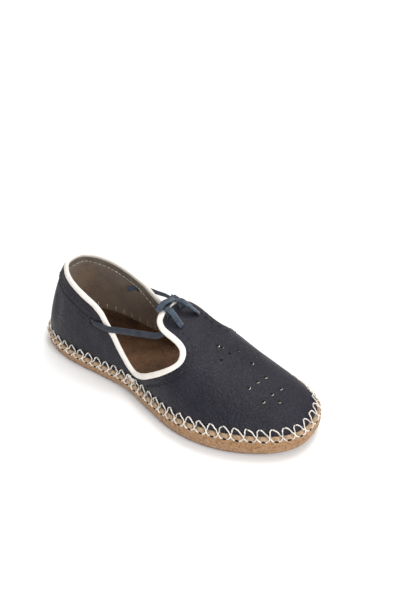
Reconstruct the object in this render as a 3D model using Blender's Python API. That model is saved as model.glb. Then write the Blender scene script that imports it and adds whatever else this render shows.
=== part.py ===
"""Right shoe of a pair of Turkish yemeni, in the pieces that its maker joins.

Sizes are in millimetres. X runs from the heel to the toe, Y to the shoe's left and Z up, and the
last is described with the heel's rim at x = 0. The finished shoe is moved so that the middle of its
footprint lies on the origin.
"""

import math

import bmesh
import bpy
import numpy as np
from mathutils import Matrix, Vector

MM = 0.001
RIGHT, LEFT = -1, 1

# Driving sizes
LENGTH = 256.0
GAP = 0.3
EDGE_GAP = 0.75
SOLE_THICK = 4.0
SOLE_EDGE = 4.6
LEDGE = 2.4
WALL = 1.8
INSOLE_THICK = 2.0
INSOLE_INSET = 8.6
BINDING_WIDTH = 5.0
BINDING_THICK = 3.0
LACE_WIDTH = 5.0
LACE_THICK = 1.4
CASING_STEP = 0.8

# Outline of the sole's rim: share of the length, half width on the right and on the left
OUTLINE = (
    (0.05, 23.4, 23.8),
    (0.16, 33.0, 33.2),
    (0.30, 33.4, 33.6),
    (0.42, 34.2, 34.4),
    (0.54, 42.0, 41.0),
    (0.66, 49.0, 44.2),
    (0.78, 46.8, 41.4),
    (0.90, 33.8, 35.6),
)
HEEL_FULLNESS = (56.0, 56.0)
TOE_FULLNESS = (58.0, 92.0)

# Length profiles: share of the length, height
RIM_HEIGHT = ((0.0, 12.4), (0.25, 12.2), (0.5, 13.6), (0.75, 17.8), (1.0, 18.8))
CROWN = (
    (0.0094, 0.0), (0.04, 21.8), (0.07, 43.6), (0.104, 64.3), (0.13, 70.4), (0.165, 76.7),
    (0.21, 81.4), (0.26, 82.6), (0.3, 80.0), (0.42, 68.0), (0.52, 56.0), (0.62, 43.2),
    (0.72, 30.6), (0.82, 21.0), (0.90, 14.0), (1.0, 9.0),
)
SECTION_POWER = 2.2
# Power of the cross-section on the left: share of the length, power; fuller beside the tab
LEFT_POWER = ((0.0, 2.2), (0.40, 2.2), (0.56, 3.0), (0.68, 2.4), (0.82, 2.0), (1.0, 2.1))
TOE_DOME = 0.84
ARCH_LIFT = 1.2
ARCH = (0.34, 0.54)
TOE_SPRING = 4.0
TOE_SPRING_FROM = 0.84

# Side of the sole, from its flat underside to its top: inset from the rim, share of the rim's height
SOLE_SIDE = ((6.0, 0.0), (2.8, 0.05), (0.6, 0.2), (-0.7, 0.42), (-0.9, 0.66), (-0.2, 0.9), (0.8, 1.0))
# Inside of the tray, from its top down to the floor: inset, share of the height between floor and top
SOLE_HOLLOW = ((4.9, 0.45), (6.0, 0.14), (8.2, 0.0))

# Middle line of the binding on one side, from the heel to the middle of the tab's end.
# A row gives y or z, and the last gives the other; the rib from it ends at rim on the sole.
COLLAR = (
    # x, y, z, rim
    (26.6, 0.0, None, 0.0),
    (29.0, None, 76.6, 5.0),
    (33.5, None, 75.4, 12.0),
    (42.0, None, 73.0, 30.0),
    (52.0, None, 70.2, 46.0),
    (64.0, None, 66.2, 61.0),
    (74.0, None, 62.4, 73.0),
    (80.0, None, 58.8, 80.0),
    (87.0, None, 51.4, 87.0),
    (93.7, None, 44.6, 94.0),
    (100.0, None, 36.4, 100.0),
    (106.0, None, 29.8, 106.0),
    (112.0, None, 25.0, 112.0),
    (117.6, None, 23.0, 118.5),
    (124.0, None, 24.2, 126.0),
    (131.8, None, 28.4, 135.0),
    (139.7, None, 33.8, 145.0),
    (147.2, None, 39.0, 156.0),
    (153.6, 35.4, None, 168.0),
    (158.4, 32.2, None, 181.0),
    (160.8, 28.2, None, 196.0),
    (160.3, 23.8, None, 0.0),
    (157.6, 20.2, None, 0.0),
    (153.0, 18.3, None, 0.0),
    (147.6, 17.8, None, 0.0),
    (141.6, 17.8, None, 0.0),
    (136.0, 17.2, None, 0.0),
    (131.8, 14.8, None, 0.0),
    (129.6, 8.6, None, 0.0),
    (128.6, 0.0, None, 0.0),
)
DEEPEST_ROW = 20
CORNER_ROW = 27
# The tab's edge lies further out on the left, up to where it runs into the front of the bay
TAB_WIDER_LEFT = 7.0
TAB_REACH = 35.4

# Fineness of the meshes
WALL_RIBS = 88
TAB_CELLS = 14
TAB_ROWS = 9
PLAIN_ROWS = 9
EDGE_ROWS = (7.8, 7.0, 3.5, 0.0)
EDGE_ROWS_REACH = 30.0
RING_POINTS = 88
BINDING_RINGS = 120

# Lace slots: distance from the heel and height on the quarters, and place on the tab
QUARTER_SLOT = (71.7, 50.2)
TAB_SLOT = (134.8, 7.0)
SLOT_LENGTH = 6.4
SLOT_WIDTH = 3.2
SLOT_DEPTH = 12.0

# Route of the lace's bar on one side: x, y, z, and the direction of its width
BAR_ROUTE = (
    ((75.2, -29.7, 50.5), (0.10, 0.25, 1.0)),
    ((84.0, -30.0, 50.6), (0.05, 0.25, 1.0)),
    ((91.0, -29.9, 51.0), (0.00, 0.30, 1.0)),
    ((98.5, -29.0, 52.6), (0.00, 0.35, 1.0)),
    ((111.0, -26.0, 54.4), (0.00, 0.45, 1.0)),
    ((123.0, -22.0, 55.2), (0.00, 0.60, 1.0)),
    ((131.0, -18.8, 55.8), (0.20, 0.90, 1.0)),
    ((135.8, -15.6, 58.6), (0.60, 0.80, 0.6)),
    ((137.8, -11.8, 61.6), (0.90, 0.30, -0.2)),
    ((136.4, -8.4, 64.1), (1.00, 0.00, -0.5)),
)
# Routes of the lace's ends out of the tab's slots: x, y, height over the leather, and the
# direction of their width
END_ROUTES = {
    "lace_end_right": (
        ((134.8, -7.0, -2.4), (0.0, 1.0, 0.0)),
        ((134.6, -7.0, 0.2), (0.0, 1.0, 0.0)),
        ((133.9, -7.1, 2.6), (0.0, 1.0, 0.0)),
        ((133.4, -7.4, 4.8), (0.0, 1.0, 0.0)),
        ((134.6, -8.0, 7.2), (0.1, 1.0, 0.0)),
        ((138.0, -8.6, 8.4), (0.1, 1.0, 0.0)),
        ((141.2, -8.6, 7.2), (0.0, 1.0, 0.0)),
        ((143.8, -8.2, 4.8), (-0.1, 1.0, 0.0)),
        ((145.6, -7.5, 2.3), (-0.2, 1.0, 0.1)),
        ((146.8, -6.9, 1.1), (-0.2, 1.0, 0.1)),
    ),
    "lace_end_left": (
        ((134.8, 7.0, -2.4), (0.0, 1.0, 0.0)),
        ((134.6, 6.9, 0.2), (0.0, 1.0, 0.0)),
        ((133.9, 6.4, 2.6), (0.0, 1.0, 0.0)),
        ((133.4, 5.4, 4.8), (-0.1, 1.0, 0.0)),
        ((134.4, 4.8, 7.2), (-0.2, 1.0, 0.0)),
        ((137.4, 5.0, 8.8), (-0.3, 1.0, 0.0)),
        ((140.8, 6.8, 8.0), (-0.5, 0.8, 0.0)),
        ((143.4, 9.2, 5.4), (-0.6, 0.7, -0.1)),
        ((145.2, 11.6, 2.8), (-0.7, 0.7, -0.2)),
        ((146.2, 13.4, 1.1), (-0.7, 0.7, -0.2)),
    ),
}
KNOT_PLACE = (128.7, 0.0)
KNOT_SIZE = (2.1, 8.6, 1.1)
KNOT_RISE = 2.1

MATERIALS = {
    # name: base colour, roughness
    "sole_leather": ((0.46, 0.28, 0.13), 0.85),
    "insole_leather": ((0.20, 0.09, 0.035), 0.7),
    "navy_leather": ((0.018, 0.020, 0.032), 0.5),
    "white_leather": ((0.82, 0.79, 0.73), 0.45),
    "lace_leather": ((0.035, 0.05, 0.09), 0.6),
}


def clear_scene():
    """Remove every object that the opened file holds."""
    for item in list(bpy.data.objects):
        bpy.data.objects.remove(item, do_unlink=True)


def smooth(value, places, heights):
    """Read a cubic curve through a table's rows."""
    places = np.asarray(places, dtype=float)
    heights = np.asarray(heights, dtype=float)
    value = np.asarray(value, dtype=float)
    slopes = np.gradient(heights, places)
    row = np.clip(np.searchsorted(places, value) - 1, 0, len(places) - 2)
    step = places[row + 1] - places[row]
    t = np.clip((value - places[row]) / step, 0.0, 1.0)
    start = (1 + 2 * t) * (1 - t) ** 2 * heights[row] + t * (1 - t) ** 2 * step * slopes[row]
    end = t * t * (3 - 2 * t) * heights[row + 1] + t * t * (t - 1) * step * slopes[row + 1]
    return start + end


def profile(table, x):
    """Read a length profile at a distance from the heel."""
    stations, heights = zip(*table)
    return smooth(np.asarray(x) / LENGTH, stations, heights)


def fullness_table(side):
    """Turn the outline's half widths into the factor k of half width = k sin(angle)."""
    column = 1 if side == RIGHT else 2
    end = 0 if side == RIGHT else 1
    angles = [math.acos(1 - 2 * row[0]) for row in OUTLINE]
    factors = [row[column] / math.sin(angle) for row, angle in zip(OUTLINE, angles)]
    angles = [0.0] + angles + [math.pi]
    return angles, [HEEL_FULLNESS[end]] + factors + [TOE_FULLNESS[end]]


FULLNESS = {RIGHT: fullness_table(RIGHT), LEFT: fullness_table(LEFT)}


def fullness(angle, side):
    """Give the outline's factor k at an angle from the heel, 0, to the toe, pi."""
    return smooth(angle, *FULLNESS[side])


def outline_point(turn, inset=0.0):
    """Give the plan point at a turn: 0 at the heel, -pi to 0 on the right, 0 to pi on the left."""
    turn = (turn + math.pi) % (2 * math.pi) - math.pi
    side = RIGHT if turn < 0 else LEFT
    angle = abs(turn)
    x = LENGTH / 2 - (LENGTH / 2 - inset) * math.cos(angle)
    y = side * (float(fullness(angle, side)) - inset) * math.sin(angle)
    return x, y


def turn_at(x):
    """Give the angle of the rim at a distance from the heel."""
    return math.acos(min(1.0, max(-1.0, 1 - 2 * x / LENGTH)))


def last_half_width(x, side):
    """Give the half width of the last at its rim, inside the sole's ledge."""
    reach = LENGTH / 2 - LEDGE
    angle = math.acos(min(1.0, max(-1.0, (LENGTH / 2 - x) / reach)))
    return (float(fullness(angle, side)) - LEDGE) * math.sin(angle)


def crown_height(x):
    """Give the height of the last over its rim on the middle line."""
    height = float(profile(CROWN, x))
    toe = min(1.0, max(0.0, (x / (LENGTH - LEDGE) - TOE_DOME) / (1 - TOE_DOME)))
    return height * math.sqrt(1 - toe ** 2)


def rim_height(x):
    """Give the height of the sole's rim."""
    return float(profile(RIM_HEIGHT, min(LENGTH, max(0.0, x))))


def section_power(x, side):
    """Give the power of the last's cross-section."""
    return SECTION_POWER if side == RIGHT else float(profile(LEFT_POWER, min(LENGTH, max(0.0, x))))


def last_height(x, y):
    """Give the height of the last's surface over a plan point."""
    side = RIGHT if y < 0 else LEFT
    share = min(1.0, abs(y) / max(last_half_width(x, side), 1e-6))
    return rim_height(x) + GAP + crown_height(x) * math.sqrt(1 - share ** section_power(x, side))


def last_side(x, z, side):
    """Give y on the last's side wall at a height."""
    share = (z - rim_height(x) - GAP) / crown_height(x)
    return side * last_half_width(x, side) * (1 - share ** 2) ** (1 / section_power(x, side))


def last_value(point):
    """Give a value that is zero on the last, below zero inside it and above zero outside it."""
    x, y, z = point
    side = RIGHT if y < 0 else LEFT
    width = max(last_half_width(x, side), 0.5)
    height = max(crown_height(x), 0.5)
    up = (z - rim_height(x) - GAP) / height
    return (abs(y) / width) ** section_power(x, side) + up * abs(up) - 1


def last_slope(point):
    """Give the gradient of last_value."""
    step = 0.05
    slope = []
    for axis in range(3):
        ahead = np.array(point, dtype=float)
        behind = ahead.copy()
        ahead[axis] += step
        behind[axis] -= step
        slope.append((last_value(ahead) - last_value(behind)) / (2 * step))
    return np.array(slope)


def last_normal(point):
    """Give the outward direction of the last's surface."""
    slope = last_slope(point)
    return slope / np.linalg.norm(slope)


def rim_normal(turn):
    """Give the outward direction of the last at its rim, which is level."""
    step = 0.01
    ahead, behind = outline_point(turn + step, LEDGE), outline_point(turn - step, LEDGE)
    normal = np.array([behind[1] - ahead[1], ahead[0] - behind[0], 0.0])
    return normal / np.linalg.norm(normal)


def settle(point):
    """Move a point that lies near the last onto it."""
    point = np.array(point, dtype=float)
    for _ in range(4):
        slope = last_slope(point)
        point -= slope * last_value(point) / slope.dot(slope)
    return point


def tab_side(x, y, side):
    """Give y of the tab's edge: on the left it follows the slimmer last and lies further out."""
    if side == RIGHT:
        return -y
    slimmer = last_half_width(x, LEFT) / last_half_width(x, RIGHT)
    return y * slimmer + TAB_WIDER_LEFT * math.sin(math.pi * y / TAB_REACH)


def on_last(x, y, z, side):
    """Complete a row of the collar's table to a point on the last."""
    if z is None:
        y = tab_side(x, y, side)
        return x, y, last_height(x, y)
    return x, last_side(x, z, side), z


class Collar:
    """The binding's closed middle line, with the place on the rim that each of its points meets."""

    def __init__(self):
        right = [on_last(x, y, z, RIGHT) for x, y, z, _ in reversed(COLLAR)]
        left = [on_last(x, y, z, LEFT) for x, y, z, _ in COLLAR[1:-1]]
        turns_right = [-turn_at(row[3]) for row in reversed(COLLAR)]
        turns_left = [turn_at(row[3]) for row in COLLAR[1:-1]]
        points = np.array(right + left)
        count = len(points)
        order = list(range(count - 3, count)) + list(range(count)) + list(range(4))
        steps = np.linalg.norm(points[order][1:] - points[order][:-1], axis=1)
        places = np.concatenate([[0.0], np.cumsum(steps)])
        self.places = places - places[3]
        self.points = points[order]
        self.length = self.places[3 + count]
        rows = len(COLLAR) - 1
        self.deepest = (self.place(rows - DEEPEST_ROW), self.place(rows + DEEPEST_ROW))
        self.corner = (self.place(rows - CORNER_ROW), self.place(rows + CORNER_ROW))
        wall = range(rows - DEEPEST_ROW, rows + DEEPEST_ROW + 1)
        self.wall_places = [self.place(row) for row in wall]
        turns = turns_right + turns_left
        self.wall_turns = [turns[row] for row in wall]

    def place(self, row):
        """Give the distance along the line at a row."""
        return self.places[3 + row]

    def point(self, place):
        """Give the point on the last at a distance along the line."""
        place = place % self.length
        return settle([smooth(place, self.places, self.points[:, axis]) for axis in range(3)])

    def frame(self, place):
        """Give point, forward, outward and the direction in the leather away from the opening."""
        point = self.point(place)
        forward = self.point(place + 0.8) - self.point(place - 0.8)
        outward = last_normal(point)
        forward -= outward * forward.dot(outward)
        forward /= np.linalg.norm(forward)
        return point, forward, outward, np.cross(outward, forward)

    def edge(self, place):
        """Give the upper's own edge beside the binding."""
        point, _, _, away = self.frame(place)
        return settle(point + away * (BINDING_WIDTH / 2 + EDGE_GAP))

    def turn(self, place):
        """Give the turn on the rim that a point of the wall's collar meets."""
        return float(smooth(place, self.wall_places, self.wall_turns))


def rib(start, end, edge_rows):
    """Give a rib's points over the last, evenly spaced and closer beside the collar."""
    share = np.linspace(0.0, 1.0, 90) ** 3
    plan = np.outer(1 - share, start[:2]) + np.outer(share, end[:2])
    line = np.array([(x, y, last_height(x, y)) for x, y in plan])
    line[0, 2] = rim_height(line[0, 0]) + GAP
    line[-1] = end
    walked = np.concatenate([[0.0], np.cumsum(np.linalg.norm(np.diff(line, axis=0), axis=1))])
    total = walked[-1]
    if edge_rows:
        scale = min(1.0, total / EDGE_ROWS_REACH)
        near = [total - distance * scale for distance in EDGE_ROWS]
    else:
        near = [total * (PLAIN_ROWS + step) / (PLAIN_ROWS + 3) for step in range(4)]
    stops = list(np.linspace(0.0, near[0], PLAIN_ROWS + 1)) + near[1:]
    return [[float(np.interp(stop, walked, line[:, axis])) for axis in range(3)] for stop in stops]


def casing_share(x):
    """Give how far the heel's casing is raised beside the collar at a distance from the heel."""
    return float(np.clip((84.0 - x) / 10.0, 0.0, 1.0))


def upper_grid(collar):
    """Give the upper's points, outward directions, casing heights and faces."""
    points, normals, lifts, faces = [], [], [], []
    last_row = PLAIN_ROWS + 3
    ribs = []
    wall = np.linspace(collar.deepest[0], collar.deepest[1], WALL_RIBS + 1)
    for place in wall:
        edge = collar.edge(place)
        turn = collar.turn(place)
        ribs.append((rib(outline_point(turn, LEDGE), edge, True), casing_share(edge[0]), turn))
    root_start, root_end = ribs[-1][0][-1], ribs[0][0][-1]
    first_turn, last_turn = collar.wall_turns[-1], 2 * math.pi + collar.wall_turns[0]
    for cell in range(1, TAB_CELLS):
        share = cell / TAB_CELLS
        turn = first_turn + (last_turn - first_turn) * share
        x = root_start[0] * (1 - share) + root_end[0] * share
        y = root_start[1] * (1 - share) + root_end[1] * share
        root = (x, y, last_height(x, y))
        ribs.append((rib(outline_point(turn, LEDGE), root, False), 0.0, turn))
    for rows, share, turn in ribs:
        for row, point in enumerate(rows):
            points.append(point)
            normals.append(rim_normal(turn) if row == 0 else last_normal(point))
            lifts.append(CASING_STEP * share if row >= PLAIN_ROWS + 1 else 0.0)
    stride = last_row + 1
    for index in range(len(ribs)):
        after = (index + 1) % len(ribs)
        for row in range(last_row):
            a, b = index * stride + row, after * stride + row
            faces.append((a, b, b + 1, a + 1))
    tab_faces(collar, points, faces, stride, len(ribs))
    normals += [last_normal(point) for point in points[len(normals):]]
    lifts += [0.0] * (len(points) - len(lifts))
    return points, normals, lifts, faces


def tab_faces(collar, points, faces, stride, rib_count):
    """Add the tab's cells between its root and its end."""
    root = [(WALL_RIBS + cell) % rib_count * stride + stride - 1 for cell in range(TAB_CELLS + 1)]
    left_places = np.linspace(collar.deepest[1], collar.corner[1], TAB_ROWS + 1)
    right_places = np.linspace(collar.deepest[0], collar.corner[0], TAB_ROWS + 1)
    left = [np.array(points[root[0]])] + [collar.edge(place) for place in left_places[1:]]
    right = [np.array(points[root[-1]])] + [collar.edge(place) for place in right_places[1:]]
    end_places = np.linspace(collar.corner[1], collar.length + collar.corner[0], TAB_CELLS + 1)
    end = [collar.edge(place) for place in end_places]
    grid = [root]
    for row in range(1, TAB_ROWS + 1):
        v = row / TAB_ROWS
        line = []
        for cell in range(TAB_CELLS + 1):
            u = cell / TAB_CELLS
            sides = left[row] * (1 - u) + right[row] * u
            ends = np.array(points[root[cell]]) * (1 - v) + end[cell] * v
            corners = (left[0] * (1 - u) + right[0] * u) * (1 - v) + (end[0] * (1 - u) + end[-1] * u) * v
            spot = sides + ends - corners
            if row < TAB_ROWS and 0 < cell < TAB_CELLS:
                spot[2] = last_height(spot[0], spot[1])
            line.append(len(points))
            points.append([float(value) for value in spot])
        grid.append(line)
    for row in range(TAB_ROWS):
        for cell in range(TAB_CELLS):
            faces.append((grid[row][cell], grid[row][cell + 1], grid[row + 1][cell + 1], grid[row + 1][cell]))


def place_in_frame(point):
    """Move a point of the last, in millimetres, to the shoe's own frame in metres."""
    return Vector(((point[0] - CENTRE[0]) * MM, (point[1] - CENTRE[1]) * MM, point[2] * MM))


def footprint_centre():
    """Give the middle of the sole's bounding rectangle."""
    bulge = min(row[0] for row in SOLE_SIDE)
    plan = [outline_point(2 * math.pi * step / RING_POINTS, bulge) for step in range(RING_POINTS)]
    xs, ys = zip(*plan)
    return (min(xs) + max(xs)) / 2, (min(ys) + max(ys)) / 2


CENTRE = footprint_centre()


def make_material(name):
    """Make a plain Principled material from the table."""
    colour, roughness = MATERIALS[name]
    material = bpy.data.materials.new(name)
    material.use_nodes = True
    shader = material.node_tree.nodes["Principled BSDF"]
    shader.inputs["Base Color"].default_value = (*colour, 1.0)
    shader.inputs["Roughness"].default_value = roughness
    shader.inputs["Metallic"].default_value = 0.0
    return material


def finish_mesh(bm, name, material):
    """Turn a closed bmesh into a named, smooth shaded object."""
    bmesh.ops.recalc_face_normals(bm, faces=bm.faces)
    mesh = bpy.data.meshes.new(name)
    bm.to_mesh(mesh)
    bm.free()
    mesh.shade_smooth()
    mesh.set_sharp_from_angle(angle=math.radians(40))
    mesh.materials.append(material)
    item = bpy.data.objects.new(name, mesh)
    bpy.context.scene.collection.objects.link(item)
    return item


def join_rings(bm, first, second):
    """Bridge two rings of vertices with quads."""
    count = len(first)
    for index in range(count):
        after = (index + 1) % count
        bm.faces.new((first[index], first[after], second[after], second[index]))


def cap_footprint(bm, ring):
    """Close a footprint ring with strips that run from its right side to its left side."""
    count = len(ring)
    half = count // 2
    for index in range(half):
        corners = [ring[index], ring[index + 1], ring[count - index - 1], ring[(count - index) % count]]
        bm.faces.new(list(dict.fromkeys(corners)))


def footprint_ring(bm, inset, height):
    """Add a ring of the outline at an inset, with its height a function of x."""
    ring = []
    for step in range(RING_POINTS):
        x, y = outline_point(-math.pi + 2 * math.pi * step / RING_POINTS, inset)
        ring.append(bm.verts.new(place_in_frame((x, y, height(x)))))
    return ring


def sole_lift(x):
    """Give the height of the sole's underside: flat heel and forefoot, a low arch, a toe spring."""
    share = x / LENGTH
    if ARCH[0] < share < ARCH[1]:
        along = (share - ARCH[0]) / (ARCH[1] - ARCH[0])
        return ARCH_LIFT * math.sin(math.pi * along) ** 2
    if share > TOE_SPRING_FROM:
        return TOE_SPRING * ((share - TOE_SPRING_FROM) / (1 - TOE_SPRING_FROM)) ** 2
    return 0.0


def build_outsole():
    """Make the sole: one thick leather, turned up into a tray."""
    bm = bmesh.new()
    rings = []
    for inset, share in SOLE_SIDE:
        rings.append(footprint_ring(bm, inset, lambda x, s=share: sole_lift(x) * (1 - s) + rim_height(x) * s))
    rings.append(footprint_ring(bm, SOLE_EDGE, rim_height))
    for inset, share in SOLE_HOLLOW:
        rings.append(footprint_ring(
            bm, inset, lambda x, s=share: (sole_lift(x) + SOLE_THICK) * (1 - s) + rim_height(x) * s))
    for first, second in zip(rings, rings[1:]):
        join_rings(bm, first, second)
    cap_footprint(bm, rings[0])
    cap_footprint(bm, rings[-1])
    return finish_mesh(bm, "outsole", make_material("sole_leather"))


def build_insole():
    """Make the thin board on the tray's floor."""
    soften = 0.6
    base = SOLE_THICK + GAP
    levels = (
        (INSOLE_INSET + soften, base),
        (INSOLE_INSET, base + soften),
        (INSOLE_INSET, base + INSOLE_THICK - soften),
        (INSOLE_INSET + soften, base + INSOLE_THICK),
    )
    bm = bmesh.new()
    rings = [footprint_ring(bm, inset, lambda x, h=height: sole_lift(x) + h) for inset, height in levels]
    for first, second in zip(rings, rings[1:]):
        join_rings(bm, first, second)
    cap_footprint(bm, rings[0])
    cap_footprint(bm, rings[-1])
    return finish_mesh(bm, "insole", make_material("insole_leather"))


def build_upper(collar):
    """Make the hollow upper: an outer and an inner surface, joined at the rim and the collar."""
    points, normals, lifts, faces = upper_grid(collar)
    bm = bmesh.new()
    outer, inner = [], []
    for point, normal, lift in zip(points, normals, lifts):
        outer.append(bm.verts.new(place_in_frame(np.array(point) + normal * lift)))
        inner.append(bm.verts.new(place_in_frame(np.array(point) - normal * WALL)))
    pairs = {first: second for first, second in zip(outer, inner)}
    for corners in faces:
        bm.faces.new([outer[index] for index in corners])
    for edge in [edge for edge in bm.edges if edge.is_boundary]:
        first, second = edge.verts
        bm.faces.new((first, second, pairs[second], pairs[first]))
    for corners in faces:
        bm.faces.new([inner[index] for index in reversed(corners)])
    upper = finish_mesh(bm, "upper", make_material("navy_leather"))
    for cutter in slot_cutters():
        cut = upper.modifiers.new(cutter.name, "BOOLEAN")
        cut.operation = "DIFFERENCE"
        cut.object = cutter
    return upper


def slot_cutters():
    """Make the hidden blocks that cut the four lace slots."""
    cutters = []
    for side, word in ((RIGHT, "right"), (LEFT, "left")):
        x, z = QUARTER_SLOT
        cutters.append(slot_cutter(f"cut_quarter_{word}", (x, last_side(x, z, side), z), (0, 0, 1)))
        x, y = TAB_SLOT
        cutters.append(slot_cutter(f"cut_tab_{word}", (x, side * y, last_height(x, side * y)), (0, 1, 0)))
    return cutters


def slot_cutter(name, point, along):
    """Make one block across the wall at a point, long in one direction."""
    normal = Vector(last_normal(point))
    length = Vector(along)
    length = (length - normal * length.dot(normal)).normalized()
    width = length.cross(normal)
    bm = bmesh.new()
    bmesh.ops.create_cube(bm, size=1.0)
    turn = Matrix((width, length, normal)).transposed().to_4x4()
    size = Matrix.Diagonal((SLOT_WIDTH * MM, SLOT_LENGTH * MM, SLOT_DEPTH * MM, 1.0))
    bmesh.ops.transform(bm, matrix=Matrix.Translation(place_in_frame(point)) @ turn @ size, verts=bm.verts)
    mesh = bpy.data.meshes.new(name)
    bm.to_mesh(mesh)
    bm.free()
    cutter = bpy.data.objects.new(name, mesh)
    bpy.context.scene.collection.objects.link(cutter)
    cutter.hide_render = True
    cutter.display_type = "WIRE"
    return cutter


def section_points(width, thick, count, power=3.0):
    """Give the corners of a soft-cornered section, across its width and its thickness."""
    corners = []
    for step in range(count):
        angle = 2 * math.pi * (step + 0.5) / count
        across, over = math.cos(angle), math.sin(angle)
        size = (abs(across) ** power + abs(over) ** power) ** (1 / power)
        corners.append((across / size * width / 2, over / size * thick / 2))
    return corners


def build_binding(collar):
    """Make the white strip that runs all round the opening."""
    bm = bmesh.new()
    section = section_points(BINDING_WIDTH, BINDING_THICK, 8)
    rings = []
    for step in range(BINDING_RINGS):
        point, _, outward, away = collar.frame(collar.length * step / BINDING_RINGS)
        middle = point - outward * WALL / 2
        rings.append([bm.verts.new(place_in_frame(middle + away * a + outward * b)) for a, b in section])
    for first, second in zip(rings, rings[1:] + rings[:1]):
        join_rings(bm, first, second)
    return finish_mesh(bm, "collar_binding", make_material("white_leather"))


def build_strap(name, points, widths, material, steps):
    """Make a flat strap along a smooth line, with its width turned as given at each point."""
    points, widths = np.array(points, dtype=float), np.array(widths, dtype=float)
    walked = np.concatenate([[0.0], np.cumsum(np.linalg.norm(np.diff(points, axis=0), axis=1))])
    section = section_points(LACE_WIDTH, LACE_THICK, 8)
    bm = bmesh.new()
    rings = []
    for place in np.linspace(0.0, walked[-1], steps):
        def read(values, where):
            return np.array([smooth(where, walked, values[:, axis]) for axis in range(3)])
        forward = read(points, min(place + 0.3, walked[-1])) - read(points, max(place - 0.3, 0.0))
        forward /= np.linalg.norm(forward)
        across = read(widths, place)
        across -= forward * across.dot(forward)
        across /= np.linalg.norm(across)
        over = np.cross(forward, across)
        middle = read(points, place)
        rings.append([bm.verts.new(place_in_frame(middle + across * a + over * b)) for a, b in section])
    for first, second in zip(rings, rings[1:]):
        join_rings(bm, first, second)
    bm.faces.new(rings[0])
    bm.faces.new(rings[-1])
    return finish_mesh(bm, name, material)


def build_bar(side, name, material):
    """Make the lace's bar across one side of the opening."""
    points = [(x, -side * y, z) for (x, y, z), _ in BAR_ROUTE]
    widths = [(x, -side * y, z) for _, (x, y, z) in BAR_ROUTE]
    return build_strap(name, points, widths, material, 20)


def build_end(name, route, material):
    """Make one of the lace's short ends on the tab."""
    points = [(x, y, last_height(x, y) + height) for (x, y, height), _ in route]
    widths = [width for _, width in route]
    return build_strap(name, points, widths, material, 16)


def build_knot(material):
    """Make the flat tie that lies across the tab's end."""
    x, y = KNOT_PLACE
    normal = Vector(last_normal((x, y, last_height(x, y))))
    centre = place_in_frame((x, y, last_height(x, y))) + normal * KNOT_RISE * MM
    turn = Vector((0, 0, 1)).rotation_difference(normal).to_matrix().to_4x4()
    size = Matrix.Diagonal((*[value * MM for value in KNOT_SIZE], 1.0))
    bm = bmesh.new()
    bmesh.ops.create_uvsphere(bm, u_segments=14, v_segments=8, radius=1.0)
    bmesh.ops.transform(bm, matrix=Matrix.Translation(centre) @ turn @ size, verts=bm.verts)
    return finish_mesh(bm, "lace_knot", material)


def build_lace():
    """Make the lace: two bars, a knot and two ends."""
    material = make_material("lace_leather")
    build_bar(RIGHT, "lace_bar_right", material)
    build_bar(LEFT, "lace_bar_left", material)
    build_knot(material)
    for name, route in END_ROUTES.items():
        build_end(name, route, material)


def main():
    """Build the whole shoe."""
    clear_scene()
    collar = Collar()
    build_outsole()
    build_insole()
    build_upper(collar)
    build_binding(collar)
    build_lace()


main()
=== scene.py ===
"""Looks of a Turkish yemeni: leather upper, rough sole, waxed thread, binding and lace.

Shapes are worked out in millimetres on the shoe's last, with the heel's rim at x = 0, as the part's
source does, and every mesh is moved to the frame's metres when it is made.
"""

import math

import bmesh
import bpy
import numpy as np
from mathutils import Matrix, Vector, noise


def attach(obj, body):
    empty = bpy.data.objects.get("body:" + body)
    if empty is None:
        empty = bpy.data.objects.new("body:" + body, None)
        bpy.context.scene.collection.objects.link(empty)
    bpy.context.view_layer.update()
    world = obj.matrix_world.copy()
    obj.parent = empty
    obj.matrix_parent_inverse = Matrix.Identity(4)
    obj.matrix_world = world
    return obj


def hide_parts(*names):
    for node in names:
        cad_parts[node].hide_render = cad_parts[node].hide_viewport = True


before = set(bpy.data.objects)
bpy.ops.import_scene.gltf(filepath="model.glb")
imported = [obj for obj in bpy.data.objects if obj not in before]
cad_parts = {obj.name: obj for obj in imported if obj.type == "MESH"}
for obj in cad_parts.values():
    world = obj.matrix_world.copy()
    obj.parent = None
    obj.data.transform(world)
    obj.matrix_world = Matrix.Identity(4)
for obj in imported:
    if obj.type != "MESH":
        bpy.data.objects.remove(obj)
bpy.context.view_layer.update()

MM = 0.001
RIGHT, LEFT = -1, 1
FULL_TURN = 2 * math.pi

# The last and the sole, as in the part's source
LENGTH = 256.0
GAP = 0.3
SOLE_THICK = 4.0
SOLE_EDGE = 4.6
LEDGE = 2.4
WALL = 1.8
INSOLE_THICK = 2.0
INSOLE_INSET = 8.6
BINDING_WIDTH = 5.0
BINDING_THICK = 3.0
LACE_WIDTH = 5.0
LACE_THICK = 1.4
CASING_STEP = 0.8
# Points of the solids' footprint
FOOTPRINT_STEPS = 88

# Outline of the sole's rim: share of the length, half width on the right and on the left
OUTLINE = (
    (0.05, 23.4, 23.8),
    (0.16, 33.0, 33.2),
    (0.30, 33.4, 33.6),
    (0.42, 34.2, 34.4),
    (0.54, 42.0, 41.0),
    (0.66, 49.0, 44.2),
    (0.78, 46.8, 41.4),
    (0.90, 33.8, 35.6),
)
HEEL_FULLNESS = (56.0, 56.0)
TOE_FULLNESS = (58.0, 92.0)

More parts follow.
